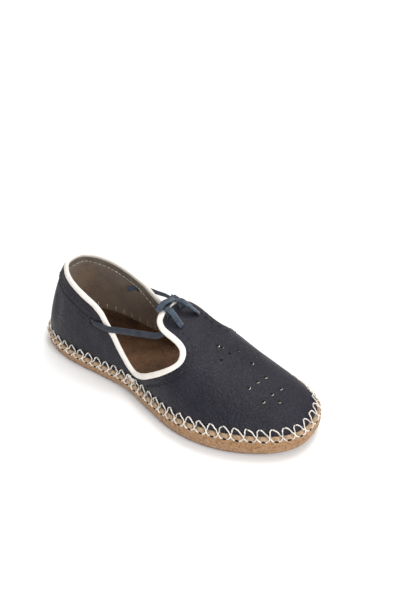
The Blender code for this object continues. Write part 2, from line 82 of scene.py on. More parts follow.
# Length profiles: share of the length, height
RIM_HEIGHT = ((0.0, 12.4), (0.25, 12.2), (0.5, 13.6), (0.75, 17.8), (1.0, 18.8))
CROWN = (
    (0.0094, 0.0), (0.04, 21.8), (0.07, 43.6), (0.104, 64.3), (0.13, 70.4), (0.165, 76.7),
    (0.21, 81.4), (0.26, 82.6), (0.3, 80.0), (0.42, 68.0), (0.52, 56.0), (0.62, 43.2),
    (0.72, 30.6), (0.82, 21.0), (0.90, 14.0), (1.0, 9.0),
)
SECTION_POWER = 2.2
# Power of the cross-section on the left: share of the length, power; fuller beside the tab
LEFT_POWER = ((0.0, 2.2), (0.40, 2.2), (0.56, 3.0), (0.68, 2.4), (0.82, 2.0), (1.0, 2.1))
TOE_DOME = 0.84
ARCH_LIFT = 1.2
ARCH = (0.34, 0.54)
TOE_SPRING = 4.0
TOE_SPRING_FROM = 0.84

# Side of the sole, from its flat underside to its top: inset from the rim, share of the rim's height
SOLE_SIDE = ((6.0, 0.0), (2.8, 0.05), (0.6, 0.2), (-0.7, 0.42), (-0.9, 0.66), (-0.2, 0.9), (0.8, 1.0))
# Inside of the tray, from its top down to its floor: inset, share of the height between them
TRAY_INSIDE = ((SOLE_EDGE, 0.98), (4.9, 0.45), (6.0, 0.14), (8.2, 0.0))

# Middle line of the binding on one side, from the heel to the middle of the tab's end.
# A row gives y or z, and the last gives the other; the rib from it ends at rim on the sole.
COLLAR = (
    # x, y, z, rim
    (26.6, 0.0, None, 0.0),
    (29.0, None, 76.6, 5.0),
    (33.5, None, 75.4, 12.0),
    (42.0, None, 73.0, 30.0),
    (52.0, None, 70.2, 46.0),
    (64.0, None, 66.2, 61.0),
    (74.0, None, 62.4, 73.0),
    (80.0, None, 58.8, 80.0),
    (87.0, None, 51.4, 87.0),
    (93.7, None, 44.6, 94.0),
    (100.0, None, 36.4, 100.0),
    (106.0, None, 29.8, 106.0),
    (112.0, None, 25.0, 112.0),
    (117.6, None, 23.0, 118.5),
    (124.0, None, 24.2, 126.0),
    (131.8, None, 28.4, 135.0),
    (139.7, None, 33.8, 145.0),
    (147.2, None, 39.0, 156.0),
    (153.6, 35.4, None, 168.0),
    (158.4, 32.2, None, 181.0),
    (160.8, 28.2, None, 196.0),
    (160.3, 23.8, None, 0.0),
    (157.6, 20.2, None, 0.0),
    (153.0, 18.3, None, 0.0),
    (147.6, 17.8, None, 0.0),
    (141.6, 17.8, None, 0.0),
    (136.0, 17.2, None, 0.0),
    (131.8, 14.8, None, 0.0),
    (129.6, 8.6, None, 0.0),
    (128.6, 0.0, None, 0.0),
)
DEEPEST_ROW = 20
CORNER_ROW = 27
# Points by which the closed line laps over itself, so that it is smooth there too
COLLAR_LAP = 3
# The tab's edge lies further out on the left, up to where it runs into the front of the bay
TAB_WIDER_LEFT = 7.0
TAB_REACH = 35.4

# Lace: the slots, and the routes that the part's source gives
QUARTER_SLOT = (71.7, 50.2)
TAB_SLOT = (134.8, 7.0)
# The blocks that cut the slots: width, length, height
SLOT_CUT = (2.56, 6.08, 8.0)
BLOCK_CORNERS = ((-1, -1, -1), (1, -1, -1), (1, 1, -1), (-1, 1, -1),
                 (-1, -1, 1), (1, -1, 1), (1, 1, 1), (-1, 1, 1))
BLOCK_FACES = ((0, 3, 2, 1), (4, 5, 6, 7), (0, 1, 5, 4), (1, 2, 6, 5), (2, 3, 7, 6), (3, 0, 4, 7))
BAR_INSIDE = (
    ((64.0, -22.6, 48.0), (0.25, 0.10, 1.0)),
    ((67.6, -24.2, 49.2), (0.20, 0.10, 1.0)),
    ((71.6, -27.6, 50.2), (0.15, 0.15, 1.0)),
)
BAR_ROUTE = (
    ((75.2, -29.7, 50.5), (0.10, 0.25, 1.0)),
    ((84.0, -30.0, 50.6), (0.05, 0.25, 1.0)),
    ((91.0, -29.9, 51.0), (0.00, 0.30, 1.0)),
    ((98.5, -29.0, 52.6), (0.00, 0.35, 1.0)),
    ((111.0, -26.0, 54.4), (0.00, 0.45, 1.0)),
    ((123.0, -22.0, 55.2), (0.00, 0.60, 1.0)),
    ((131.0, -18.8, 55.8), (0.20, 0.90, 1.0)),
    ((135.8, -15.6, 58.6), (0.60, 0.80, 0.6)),
    ((137.8, -11.8, 61.6), (0.90, 0.30, -0.2)),
    ((136.4, -8.4, 64.1), (1.00, 0.00, -0.5)),
)
END_ROUTES = {
    "lace_end_right": (
        ((135.2, -7.3, -4.6), (0.1, 1.0, 0.0)),
        ((134.8, -7.0, -2.4), (0.0, 1.0, 0.0)),
        ((134.6, -7.0, 0.2), (0.0, 1.0, 0.0)),
        ((133.9, -7.1, 2.6), (0.0, 1.0, 0.0)),
        ((133.4, -7.4, 4.8), (0.0, 1.0, 0.0)),
        ((134.6, -8.0, 7.2), (0.1, 1.0, 0.0)),
        ((138.0, -8.6, 8.4), (0.1, 1.0, 0.0)),
        ((141.2, -8.6, 7.2), (0.0, 1.0, 0.0)),
        ((143.8, -8.2, 4.8), (-0.1, 1.0, 0.0)),
        ((145.6, -7.5, 2.3), (-0.2, 1.0, 0.1)),
        ((146.8, -6.9, 1.1), (-0.2, 1.0, 0.1)),
    ),
    "lace_end_left": (
        ((135.2, 7.3, -4.6), (-0.1, 1.0, 0.0)),
        ((134.8, 7.0, -2.4), (0.0, 1.0, 0.0)),
        ((134.6, 6.9, 0.2), (0.0, 1.0, 0.0)),
        ((133.9, 6.4, 2.6), (0.0, 1.0, 0.0)),
        ((133.4, 5.4, 4.8), (-0.1, 1.0, 0.0)),
        ((134.4, 4.8, 7.2), (-0.2, 1.0, 0.0)),
        ((137.4, 5.0, 8.8), (-0.3, 1.0, 0.0)),
        ((140.8, 6.8, 8.0), (-0.5, 0.8, 0.0)),
        ((143.4, 9.2, 5.4), (-0.6, 0.7, -0.1)),
        ((145.2, 11.6, 2.8), (-0.7, 0.7, -0.2)),
        ((146.2, 13.4, 1.1), (-0.7, 0.7, -0.2)),
    ),
}
# Tie over the tab's end: two crossing strips, x, y and height over the leather
TIE_ROUTES = (
    ((124.6, -8.6, -2.2), (125.6, -8.4, 0.8), (128.2, -7.0, 1.8), (129.2, -3.2, 1.9),
     (128.4, 0.6, 1.9), (127.4, 4.4, 1.8), (127.0, 8.0, 1.7), (127.4, 11.0, 1.5)),
    ((127.6, -11.0, 1.7), (127.4, -7.8, 2.6), (127.4, -4.2, 3.3), (128.2, -0.4, 3.5),
     (129.0, 3.6, 3.2), (128.6, 7.4, 2.2), (126.0, 9.0, 1.2), (124.6, 9.2, -2.0)),
)

# Fineness of the meshes
WALL_RIBS = 264
TAB_CELLS = 72
TAB_ROWS = 42
PLAIN_ROWS = 46
EDGE_ROWS = (11.4, 10.4, 9.9, 9.4, 8.9, 8.4, 7.6, 7.2, 6.8, 6.0, 5.2, 4.8, 4.4, 3.4, 2.2, 1.0, 0.0)
EDGE_ROWS_REACH = 26.0
FAR_FROM_EDGE = 60.0
SOLE_STEPS = 1024
INSOLE_STEPS = 512
BINDING_RINGS = 620
FACING_RINGS = 360
RIM_POINTS = 4001
RIB_POINTS = 120
RIB_POWER = 3
ROW_POWER = 1.25
FACING_ROWS = 7
LONGEST_STRIDE = 2.0
SHARP_ANGLE = math.radians(50)
TUBE_TIP = 0.55

# Where the leather's edge lies under the binding, from its middle line
UNDER_BINDING = BINDING_WIDTH / 2 - 0.6

# Seams beside the collar: distances from the binding's middle line, in its length and across it
SEAM_DISTANCE = 7.8
SEAM_PITCH = 3.9
SEAM_STITCH = 2.7
SEAM_FROM_CORNER = 3.0
BAY_SEAM_ROW = 15
CASING_SEAM_ROW = 6
# Of each seam: height over the leather and radius of its thread
VAMP_SEAM = (0.05, 0.42)
CASING_SEAM = (CASING_STEP - 0.05, 0.3)
CASING_SEAM_DISTANCE = 9.0
FACING_SEAM = (-(WALL + 0.82), 0.28)
FACING_SEAM_FROM_EDGE = 1.6
# Height of a stitch's five points, as a share of its thickness
DASH_ARCH = (-0.55, 0.0, 0.08, 0.0, -0.55)

# Strip inside the collar: its width, and the depths of its two faces and of its thin edge
FACING_START = 0.6
FACING_WIDTH = 10.5
LEAST_FACING = 4.0
FACING_CLEAR = 3.0
FACING_ON_TAB = 125.0
FACING_DEPTHS = (WALL + 0.06, WALL + 0.75)
FACING_EDGE_DEPTH = WALL + 0.27

# Sewing round the rim: distances are from the sole's rim, and SLIT_HALF is a share of a stitch
STITCHES = 64
HOLE_RISE = 4.9
SLIT_DROP = 2.6
SLIT_HALF = 0.2
SLIT_CUT = (2.3, 0.95, 3.0)
SLIT_SINK = 0.1
THREAD_RADIUS = 0.32
THREAD_STEP = 0.62
PLY_PITCH = 3.2
PLY_OFFSET = 0.72
THREAD_LEAN = (0.31, 0.17, 0.93)
# One strand up the sole's side: share of a stitch, share of the way from slit to rim, distance out
STRAND_SIDE = ((-0.05, 0.0, -1.6), (0.0, 0.0, 0.15), (0.16, 0.30, 0.75), (0.30, 0.72, 0.8))
# Over the rim: share of a stitch, inset, height, and how much further out an upper strand lies
STRAND_TOP = ((0.42, 0.8, 0.15, 0.126), (0.52, 2.0, 0.95, 0.0))
# Into the leather: share of a stitch, distance from the rim, distance out
STRAND_IN = ((0.62, 2.7, 0.6), (0.74, 4.2, 0.55), (0.88, 5.0, 0.5), (1.0, 4.9, -0.9))
# How far the upper strand of a crossing lies over the lower one, and the share of it at each point
STRAND_LIFT = 0.42
LIFT_SHARES = (0.0, 0.0, 0.0, 1.0, 1.0, 0.7, 0.3, 0.3, 0.3, 0.0)
STRAND_WOBBLE, TOP_WOBBLE = 0.13, 0.3
# Stitches inside, where the upper meets the sole: length, and depths under the upper's inner face
INNER_STITCH = 3.4
INNER_ENDS, INNER_OUT, INNER_BOW = WALL - 0.6, WALL + 0.3, WALL + 0.45
INNER_STEP = 0.7
# Bunched thread where the sewing starts and ends: place, strands, points of each, reach over the leather
KNOT_AT = 116.0
KNOT_STRANDS, KNOT_POINTS = 4, 8
KNOT_REACH, KNOT_WOBBLE = 5.6, 0.25

# Relief of the leather: distance from the edge or the rim, width and height of each ridge or dent
PUCKER = (1.8, 2.6, 1.0)
PUCKER_START = 0.8
HOLE_DENT = (HOLE_RISE, 1.3, -0.35)
CASING_GROOVE = (9.9, 0.8, -0.5)
VAMP_GROOVE = (SEAM_DISTANCE, 0.9, -0.5)
VAMP_RIDGE = (5.2, 1.6, 0.28)
CASING_WIDTH = 9.2
CASING_END, CASING_FADE = 86.0, 9.0
VAMP_START, VAMP_FADE = 130.0, 6.0
DENT_INSIDE = 0.6
# The leather is even up to these distances from the collar and the rim, and near the tab's edges
CALM_COLLAR, CALM_RIM = 4.0, 3.0
TAB_SIDE_FADE, TAB_END_FADE = 7.0, 5.0
# A crease's ridge, in half widths from its middle, and the share of it that is whole
RIDGE_AT = 1.7
CREASE_WHOLE, CREASE_FADE = 1.25, 1.5

# Unevenness of each piece: depth, size and seed of every layer
LEATHER_UNEVEN = ((0.34, 34.0, 1), (0.09, 7.0, 2))
SOLE_UNEVEN = ((0.22, 11.0, 3), (0.12, 3.2, 4))
INSOLE_UNEVEN = ((0.14, 16.0, 5),)
BINDING_UNEVEN = ((0.13, 9.0, 6), (0.05, 2.6, 7))
LACE_UNEVEN = ((0.10, 4.0, 8), (0.06, 1.4, 9))

# Rings of the sole: shares of its side, then inset, drop and scallop of its top
SIDE_SHARES = (0.0, 0.012, 0.03, *np.linspace(0.06, 0.96, 17))
TOP_RINGS = ((0.5, 0.1, 1.0), (1.1, 0.0, 0.9), (2.0, 0.0, 0.5), (2.6, 0.0, 0.0), (4.2, 0.0, 0.0))
SCALLOP_RISE = 1.61
SCALLOP_OUT = 0.6
SCALLOP_FROM, SCALLOP_FADE = 0.6, 0.35
ROUGH_FROM, ROUGH_FADE = 0.04, 0.1
# Rings of the insole: inset and height of its edge, insets of its face, and how far that is hollow
INSOLE_EDGE = ((0.3, 0.0), (-0.3, 0.6), (-0.3, 1.4), (-0.1, 1.8), (0.4, 2.0))
INSOLE_FACE = (1.6, 3.2, 5.2, 8.0, 11.5, 15.0, 18.5)
INSOLE_WORN, WORN_FROM, WORN_REACH = 0.35, 1.0, 8.0
INSOLE_EVEN = 1.2
# The smoother tone near the rim: how far down it is full, and its fade
RIM_TONE_DROP, RIM_TONE_FADE = 4.6, 2.0

# Sections: width, thickness, corners and how square they are
BINDING_SECTION = (BINDING_WIDTH - 0.2, BINDING_THICK + 0.2, 18, 2.4)
LACE_SECTION = (LACE_WIDTH, LACE_THICK, 20, 3.2)
BAR_STEPS, END_STEPS, TIE_STEPS = 110, 70, 60
# The lace narrows in its slots: share that goes, and the reach along it; its section is cupped
PINCH = 0.45
PINCH_REACH = 6.0
CUP_RISE, CUP_DROP = 0.22, 0.5
LACE_AHEAD = 0.3

# Punched dots on the vamp: x, y
DOTS = (
    (173.2, 1.6), (176.0, 2.8),
    (184.5, 11.5), (182.8, 3.1), (182.6, -6.6), (198.4, 9.6),
    (212.5, 7.1), (211.3, -1.3), (210.2, -10.5),
    (225.2, 7.9), (224.1, -1.6), (223.6, -11.6), (231.2, -2.5),
)
DOT_RADIUS = 1.05
DOT_DEPTH = 2.2
# Painted highlight of a dot, a pale glint laid on its toe side as a raised arc: half its turn, distance
# out, height over the leather and radius
DOT_GLINT_TURN, DOT_GLINT_OUT, DOT_GLINT_RISE, DOT_GLINT_RADIUS = 1.1, 0.1, 0.05, 0.26

# Soft creases of the leather: start, end, depth and half width, in x, y, z; first those of each side
CREASES = (
    *(((84.0, 33.0 * side, 30.0), (60.0, 33.0 * side, 38.0), 0.5, 6.0) for side in (RIGHT, LEFT)),
    *(((30.0, 24.0 * side, 30.0), (34.0, 26.0 * side, 56.0), 0.6, 5.0) for side in (RIGHT, LEFT)),
    *(((66.0, 31.0 * side, 46.0), (74.0, 31.0 * side, 55.0), 0.5, 4.0) for side in (RIGHT, LEFT)),
    ((118.0, -40.0, 20.0), (146.0, -42.0, 30.0), 0.35, 4.0),
    ((168.0, -30.0, 44.0), (190.0, -38.0, 32.0), 0.35, 6.0),
    ((168.0, 30.0, 44.0), (190.0, 36.0, 32.0), 0.35, 6.0),
    ((166.0, 6.0, 54.0), (170.0, -22.0, 50.0), 0.45, 7.0),
    ((192.0, 18.0, 36.0), (198.0, -20.0, 38.0), 0.3, 6.0),
)

# Camera, in millimetres on the last
CAMERA_AT = (507.65, -416.45, 466.41)
CAMERA_AIM = (-0.52645, 0.62988, -0.57105)
CAMERA_ROLL = math.radians(-2.36)
CAMERA_LENS = 54.83
SENSOR_WIDTH = 36.0
CLIP_START, CLIP_END = 0.01, 50.0

# Lights, in metres: name, place, size, power and colour
LIGHTS = (
    ("key", (0.05, 0.45, 1.25), 0.8, 9.5, (1.0, 0.985, 0.96)),
    ("front", (1.4, -0.6, 0.85), 0.9, 17.0, (0.96, 0.98, 1.0)),
)
LIGHTS_AIM = (0.0, 0.0, 0.03)
SKY_STRENGTH = 0.74
FLOOR_SIZE = 8.0
FLOOR_DROP = 0.0002


# The last


def smooth(value, places, heights):
    """Read a cubic curve through a table's rows."""
    value, places, heights = (np.asarray(item, dtype=float) for item in (value, places, heights))
    slopes = np.gradient(heights, places)
    row = np.clip(np.searchsorted(places, value) - 1, 0, len(places) - 2)
    step = places[row + 1] - places[row]
    t = np.clip((value - places[row]) / step, 0.0, 1.0)
    start = (1 + 2 * t) * (1 - t) ** 2 * heights[row] + t * (1 - t) ** 2 * step * slopes[row]
    end = t * t * (3 - 2 * t) * heights[row + 1] + t * t * (t - 1) * step * slopes[row + 1]
    return start + end


def profile(table, x):
    """Read a length profile at distances from the heel."""
    stations, heights = zip(*table)
    return smooth(np.clip(x, 0.0, LENGTH) / LENGTH, stations, heights)


def soft_step(amount):
    """Turn 0 to 1 into a soft step."""
    amount = np.clip(amount, 0.0, 1.0)
    return amount * amount * (3 - 2 * amount)


def bell(distance, place, width, height=1.0):
    """Give a soft hill with its top at a place."""
    return height * np.exp(-((distance - place) / width) ** 2)


def wrapped(turn):
    """Bring turns to between -pi and pi."""
    return (np.asarray(turn, dtype=float) + math.pi) % FULL_TURN - math.pi


def walk(line):
    """Give the distance along a line at each of its points."""
    return np.concatenate([[0.0], np.cumsum(np.linalg.norm(np.diff(line, axis=0), axis=1))])


def read_line(read, stops, walked, line):
    """Give points at distances along a line, with a way to read between its points."""
    return np.stack([read(stops, walked, line[:, axis]) for axis in range(3)], axis=-1)


def unit(vectors):
    """Give vectors at length one."""
    return vectors / np.maximum(np.linalg.norm(vectors, axis=-1, keepdims=True), 1e-9)


def square_to(vectors, directions):
    """Make vectors square to directions, at length one."""
    return unit(vectors - directions * np.sum(vectors * directions, axis=-1, keepdims=True))


def fullness_table(side):
    """Turn the outline's half widths into the factor k of half width = k sin(angle)."""
    column = 1 if side == RIGHT else 2
    angles = [math.acos(1 - 2 * row[0]) for row in OUTLINE]
    factors = [row[column] / math.sin(angle) for row, angle in zip(OUTLINE, angles)]
    heel, toe = HEEL_FULLNESS[column - 1], TOE_FULLNESS[column - 1]
    return [0.0, *angles, math.pi], [heel, *factors, toe]


FULLNESS = {RIGHT: fullness_table(RIGHT), LEFT: fullness_table(LEFT)}


def fullness(angle, y):
    """Give the outline's factor k at angles from the heel to the toe, on the side of y."""
    return np.where(np.asarray(y) < 0, smooth(angle, *FULLNESS[RIGHT]), smooth(angle, *FULLNESS[LEFT]))


def outline(turn, inset=0.0):
    """Give plan points at turns: 0 at the heel, below 0 on the right, above 0 on the left."""
    turn = wrapped(turn)
    angle = np.abs(turn)
    x = LENGTH / 2 - (LENGTH / 2 - inset) * np.cos(angle)
    y = np.sign(turn) * (fullness(angle, turn) - inset) * np.sin(angle)
    return np.stack([x, y], axis=-1)


def footprint_centre():
    """Give the middle of the solids' footprint, on the floor."""
    bulge = min(row[0] for row in SOLE_SIDE)
    plan = outline(np.arange(FOOTPRINT_STEPS) * FULL_TURN / FOOTPRINT_STEPS, bulge)
    return np.append((plan.min(axis=0) + plan.max(axis=0)) / 2, 0.0)


ORIGIN = footprint_centre()


def turn_at(x):
    """Give the angle of the rim at a distance from the heel."""
    return math.acos(min(1.0, max(-1.0, 1 - 2 * x / LENGTH)))


def half_width(x, y):
    """Give the half width of the last at its rim, on the side of y."""
    angle = np.arccos(np.clip((LENGTH / 2 - x) / (LENGTH / 2 - LEDGE), -1.0, 1.0))
    return (fullness(angle, y) - LEDGE) * np.sin(angle)


def crown(x):
    """Give the height of the last over its rim on the middle line."""
    toe = np.clip((x / (LENGTH - LEDGE) - TOE_DOME) / (1 - TOE_DOME), 0.0, 1.0)
    return profile(CROWN, x) * np.sqrt(1 - toe ** 2)


def rim(x):
    """Give the height of the sole's rim."""
    return profile(RIM_HEIGHT, x)


def section_power(x, y):
    """Give the power of the last's cross-section, on the side of y."""
    return np.where(np.asarray(y) < 0, SECTION_POWER, profile(LEFT_POWER, x))


def surface(x, y):
    """Give the height of the last over plan points."""
    share = np.minimum(1.0, np.abs(y) / np.maximum(half_width(x, y), 1e-6))
    return rim(x) + GAP + crown(x) * np.sqrt(1 - share ** section_power(x, y))


def value(points):
    """Give a value that is zero on the last, and above zero outside it."""
    x, y, z = points[..., 0], points[..., 1], points[..., 2]
    width = np.maximum(half_width(x, y), 0.5)
    up = (z - rim(x) - GAP) / np.maximum(crown(x), 0.5)
    return (np.abs(y) / width) ** section_power(x, y) + up * np.abs(up) - 1


def slope(points):
    """Give the gradient of value."""
    step = 0.05
    rises = [value(points + shift) - value(points - shift) for shift in np.eye(3) * step]
    return np.stack(rises, axis=-1) / (2 * step)


def normal(points):
    """Give the outward direction of the last's surface."""
    return unit(slope(points))


def settle(points):
    """Move points that lie near the last onto it."""
    points = np.array(points, dtype=float)
    for _ in range(4):
        ahead = slope(points)
        points -= ahead * (value(points) / np.sum(ahead ** 2, axis=-1))[..., None]
    return points


def over(x, y, height=0.0):
    """Give points at a height over the last."""
    x, y = np.asarray(x, dtype=float), np.asarray(y, dtype=float)
    return np.stack([x, y, surface(x, y) + height], axis=-1)


def rim_normal(turn):
    """Give the level outward directions of the last at its rim."""
    ahead, behind = outline(turn + 0.01, LEDGE), outline(turn - 0.01, LEDGE)
    level = np.stack([behind[..., 1] - ahead[..., 1], ahead[..., 0] - behind[..., 0]], axis=-1)
    return unit(np.concatenate([level, np.zeros_like(level[..., :1])], axis=-1))


def quarter_point(place, side):
    """Give the side wall's point at a distance from the heel and a height."""
    x, z = place
    share = (z - rim(x) - GAP) / crown(x)
    y = side * half_width(x, side) * (1 - share ** 2) ** (1 / section_power(x, side))
    return np.array([x, float(y), z])


def tab_side(x, y, side):
    """Give y of the tab's edge: on the left it follows the slimmer last and lies further out."""
    if side == RIGHT:
        return -y
    slimmer = float(half_width(x, LEFT) / half_width(x, RIGHT))
    return y * slimmer + TAB_WIDER_LEFT * math.sin(math.pi * y / TAB_REACH)


class Collar:
    """The binding's closed middle line, with the place on the rim that each of its points meets."""

    def __init__(self):
        right = [self.row_point(row, RIGHT) for row in reversed(COLLAR)]
        left = [self.row_point(row, LEFT) for row in COLLAR[1:-1]]
        points = np.array(right + left)
        count, heel = len(points), len(COLLAR) - 1
        self.points = points[[*range(count - COLLAR_LAP, count), *range(count), *range(COLLAR_LAP + 1)]]
        walked = walk(self.points)
        self.places = walked - walked[COLLAR_LAP]
        self.length = self.places[COLLAR_LAP + count]
        self.deepest, self.corner = self.pair(DEEPEST_ROW), self.pair(CORNER_ROW)
        turns = [-turn_at(row[3]) for row in reversed(COLLAR)] + [turn_at(row[3]) for row in COLLAR[1:-1]]
        wall = slice(heel - DEEPEST_ROW, heel + DEEPEST_ROW + 1)
        self.wall_places, self.wall_turns = self.places[COLLAR_LAP:][wall], turns[wall]

    @staticmethod
    def row_point(row, side):
        """Complete a row of the table to a point on the last."""
        x, y, z, _ = row
        if z is None:
            return over(x, tab_side(x, y, side))
        return quarter_point((x, z), side)

    def pair(self, row):
        """Give the distances along the line at a row of the table, on the right and on the left."""
        heel = COLLAR_LAP + len(COLLAR) - 1
        return self.places[heel - row], self.places[heel + row]

    def point(self, places):
        """Give points on the last at distances along the line."""
        places = np.asarray(places, dtype=float) % self.length
        return settle(read_line(smooth, places, self.places, self.points))

    def frame(self, places, span=0.8):
        """Give points, and directions along the line, outward and away from the opening."""
        places = np.asarray(places, dtype=float)
        point = self.point(places)
        outward = normal(point)
        forward = square_to(self.point(places + span) - self.point(places - span), outward)
        return point, forward, outward, np.cross(outward, forward)

    def beside(self, places, distance):
        """Give the leather's points at a distance from the line, walked in steps."""
        point, _, _, away = self.frame(places)
        steps = max(1, int(math.ceil(np.max(np.abs(distance)) / LONGEST_STRIDE)))
        stride = np.broadcast_to(np.asarray(distance, dtype=float), np.shape(places)) / steps
        for _ in range(steps):
            point = settle(point + away * stride[..., None])
            away = square_to(away, normal(point))
        return point


COLLAR_LINE = Collar()


class RimLine:
    """Equal steps along the sole's rim."""

    def __init__(self):
        self.turns = np.linspace(-math.pi, math.pi, RIM_POINTS)
        self.walked = walk(outline(self.turns))
        self.length = self.walked[-1]

    def turn(self, step):
        """Give the turn at a number of stitches along the rim."""
        place = np.asarray(step, dtype=float) * self.length / STITCHES % self.length
        return np.interp(place, self.walked, self.turns)

    def phase(self, turn):
        """Give the number of stitches along the rim at a turn."""
        return np.interp(wrapped(turn), self.turns, self.walked) / self.length * STITCHES


RIM_LINE = RimLine()


# Meshes


def to_frame(points):
    """Move points of the last, in millimetres, to the frame's metres."""
    return (np.asarray(points, dtype=float) - ORIGIN) * MM


def make_piece(name, points, faces, finishes, indices=None):
    """Make a mesh object from points of the last."""
    mesh = bpy.data.meshes.new(name)
    mesh.from_pydata(to_frame(points).tolist(), [], [list(map(int, face)) for face in faces])
    for item in finishes:
        mesh.materials.append(item.material)
    if indices is not None:
        mesh.polygons.foreach_set("material_index", np.asarray(indices, dtype=np.int32))
    mesh.validate()
    bm = bmesh.new()
    bm.from_mesh(mesh)
    bmesh.ops.recalc_face_normals(bm, faces=bm.faces)
    bm.to_mesh(mesh)
    bm.free()
    mesh.shade_smooth()
    mesh.set_sharp_from_angle(angle=SHARP_ANGLE)
    piece = bpy.data.objects.new(name, mesh)
    bpy.context.scene.collection.objects.link(piece)
    return piece


def dress(piece, slot, *nodes):
    """Ride a piece on the shoe, with the CAD nodes it stands for; slot is not used."""
    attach(piece, "root")
    if nodes:
        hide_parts(*nodes)


def ring_faces(rings, count, closed_rings=False, start=0):
    """Give the quads between rings of count points that follow each other."""
    faces = []
    for ring in range(rings if closed_rings else rings - 1):
        first, second = start + ring * count, start + (ring + 1) % rings * count
        for index in range(count):
            after = (index + 1) % count
            faces.append((first + index, first + after, second + after, second + index))
    return faces


def end_faces(rings, count, start=0):
    """Give the two faces that close a tube's ends."""
    last = start + (rings - 1) * count
    return [tuple(reversed(range(start, start + count))), tuple(range(last, last + count))]


def footprint_strips(start, count):
    """Give strips that close a footprint ring from its right side to its left side."""
    strips = []
    for index in range(count // 2):
        corners = [index, index + 1, count - index - 1, (count - index) % count]
        strips.append(tuple(start + corner for corner in dict.fromkeys(corners)))
    return strips


def section(width, thick, count, power):
    """Give the corners of a soft-cornered section, across its width and its thickness."""
    angle = FULL_TURN * (np.arange(count) + 0.5) / count
    across, upward = np.cos(angle), np.sin(angle)
    size = (np.abs(across) ** power + np.abs(upward) ** power) ** (1 / power)
    return np.stack([across / size * width / 2, upward / size * thick / 2], axis=-1)


def sweep(middle, across, upward, corners):
    """Give the points of a section carried along a line."""
    rings = middle[:, None] + across[:, None] * corners[:, :1] + upward[:, None] * corners[:, 1:]
    return rings.reshape(-1, 3)


def uneven(points, layers):
    """Give a smooth uneven value at points, summed over layers of depth, size and seed."""
    total = np.zeros(len(points))
    for depth, size, seed in layers:
        offset = Vector((seed * 17.3, seed * 5.1, seed * 9.7))
        total += depth * np.array([noise.noise(Vector(point) / size + offset) for point in points])
    return total


def worn(points, middle, layers):
    """Push the points of a swept section unevenly in and out from its middle line."""
    radial = unit(points - np.repeat(middle, len(points) // len(middle), axis=0))
    return points + radial * uneven(points, layers)[:, None]


def refine(line, spacing):
    """Give a smooth line through rough points at an even spacing."""
    line = np.asarray(line, dtype=float)
    walked = walk(line)
    stops = np.linspace(0.0, walked[-1], max(4, int(round(walked[-1] / spacing))))
    return read_line(smooth, stops, walked, line)


class TubeSet:
    """Many thin tubes gathered into one mesh."""

    def __init__(self):
        self.points, self.faces, self.count = [], [], 0

    def add(self, line, radius, sides=6, flat=1.0):
        """Add a tube with closed ends along a line of points."""
        forward = unit(np.gradient(line, axis=0))
        helper = np.array([0.0, 0.0, 1.0]) if abs(forward[0, 2]) < 0.8 else np.array([1.0, 0.0, 0.0])
        across = []
        for step in forward:
            helper = square_to(helper, step)
            across.append(helper)
        across = np.array(across)
        taper = np.ones((len(line), 1))
        taper[0] = taper[-1] = TUBE_TIP
        angle = FULL_TURN * np.arange(sides) / sides
        corners = np.stack([np.cos(angle) * radius, np.sin(angle) * radius * flat], axis=-1)
        self.points.append(sweep(line, across * taper, np.cross(forward, across) * taper, corners))
        self.faces += ring_faces(len(line), sides, start=self.count)
        self.faces += end_faces(len(line), sides, self.count)
        self.count += len(line) * sides

    def add_thread(self, line):
        """Add a waxed thread of two twisted plies along a rough line."""
        line = refine(line, THREAD_STEP)
        forward = unit(np.gradient(line, axis=0))
        across = unit(np.cross(forward, np.array(THREAD_LEAN)))
        upward = np.cross(forward, across)
        turn = (FULL_TURN * walk(line) / PLY_PITCH)[:, None]
        for start in (0.0, math.pi):
            offset = across * np.cos(turn + start) + upward * np.sin(turn + start)
            self.add(line + offset * THREAD_RADIUS * PLY_OFFSET, THREAD_RADIUS, sides=5)

    def piece(self, name, finish, slot):
        """Make the mesh and dress it."""
        dress(make_piece(name, np.concatenate(self.points), self.faces, [finish]), slot)


# Materials


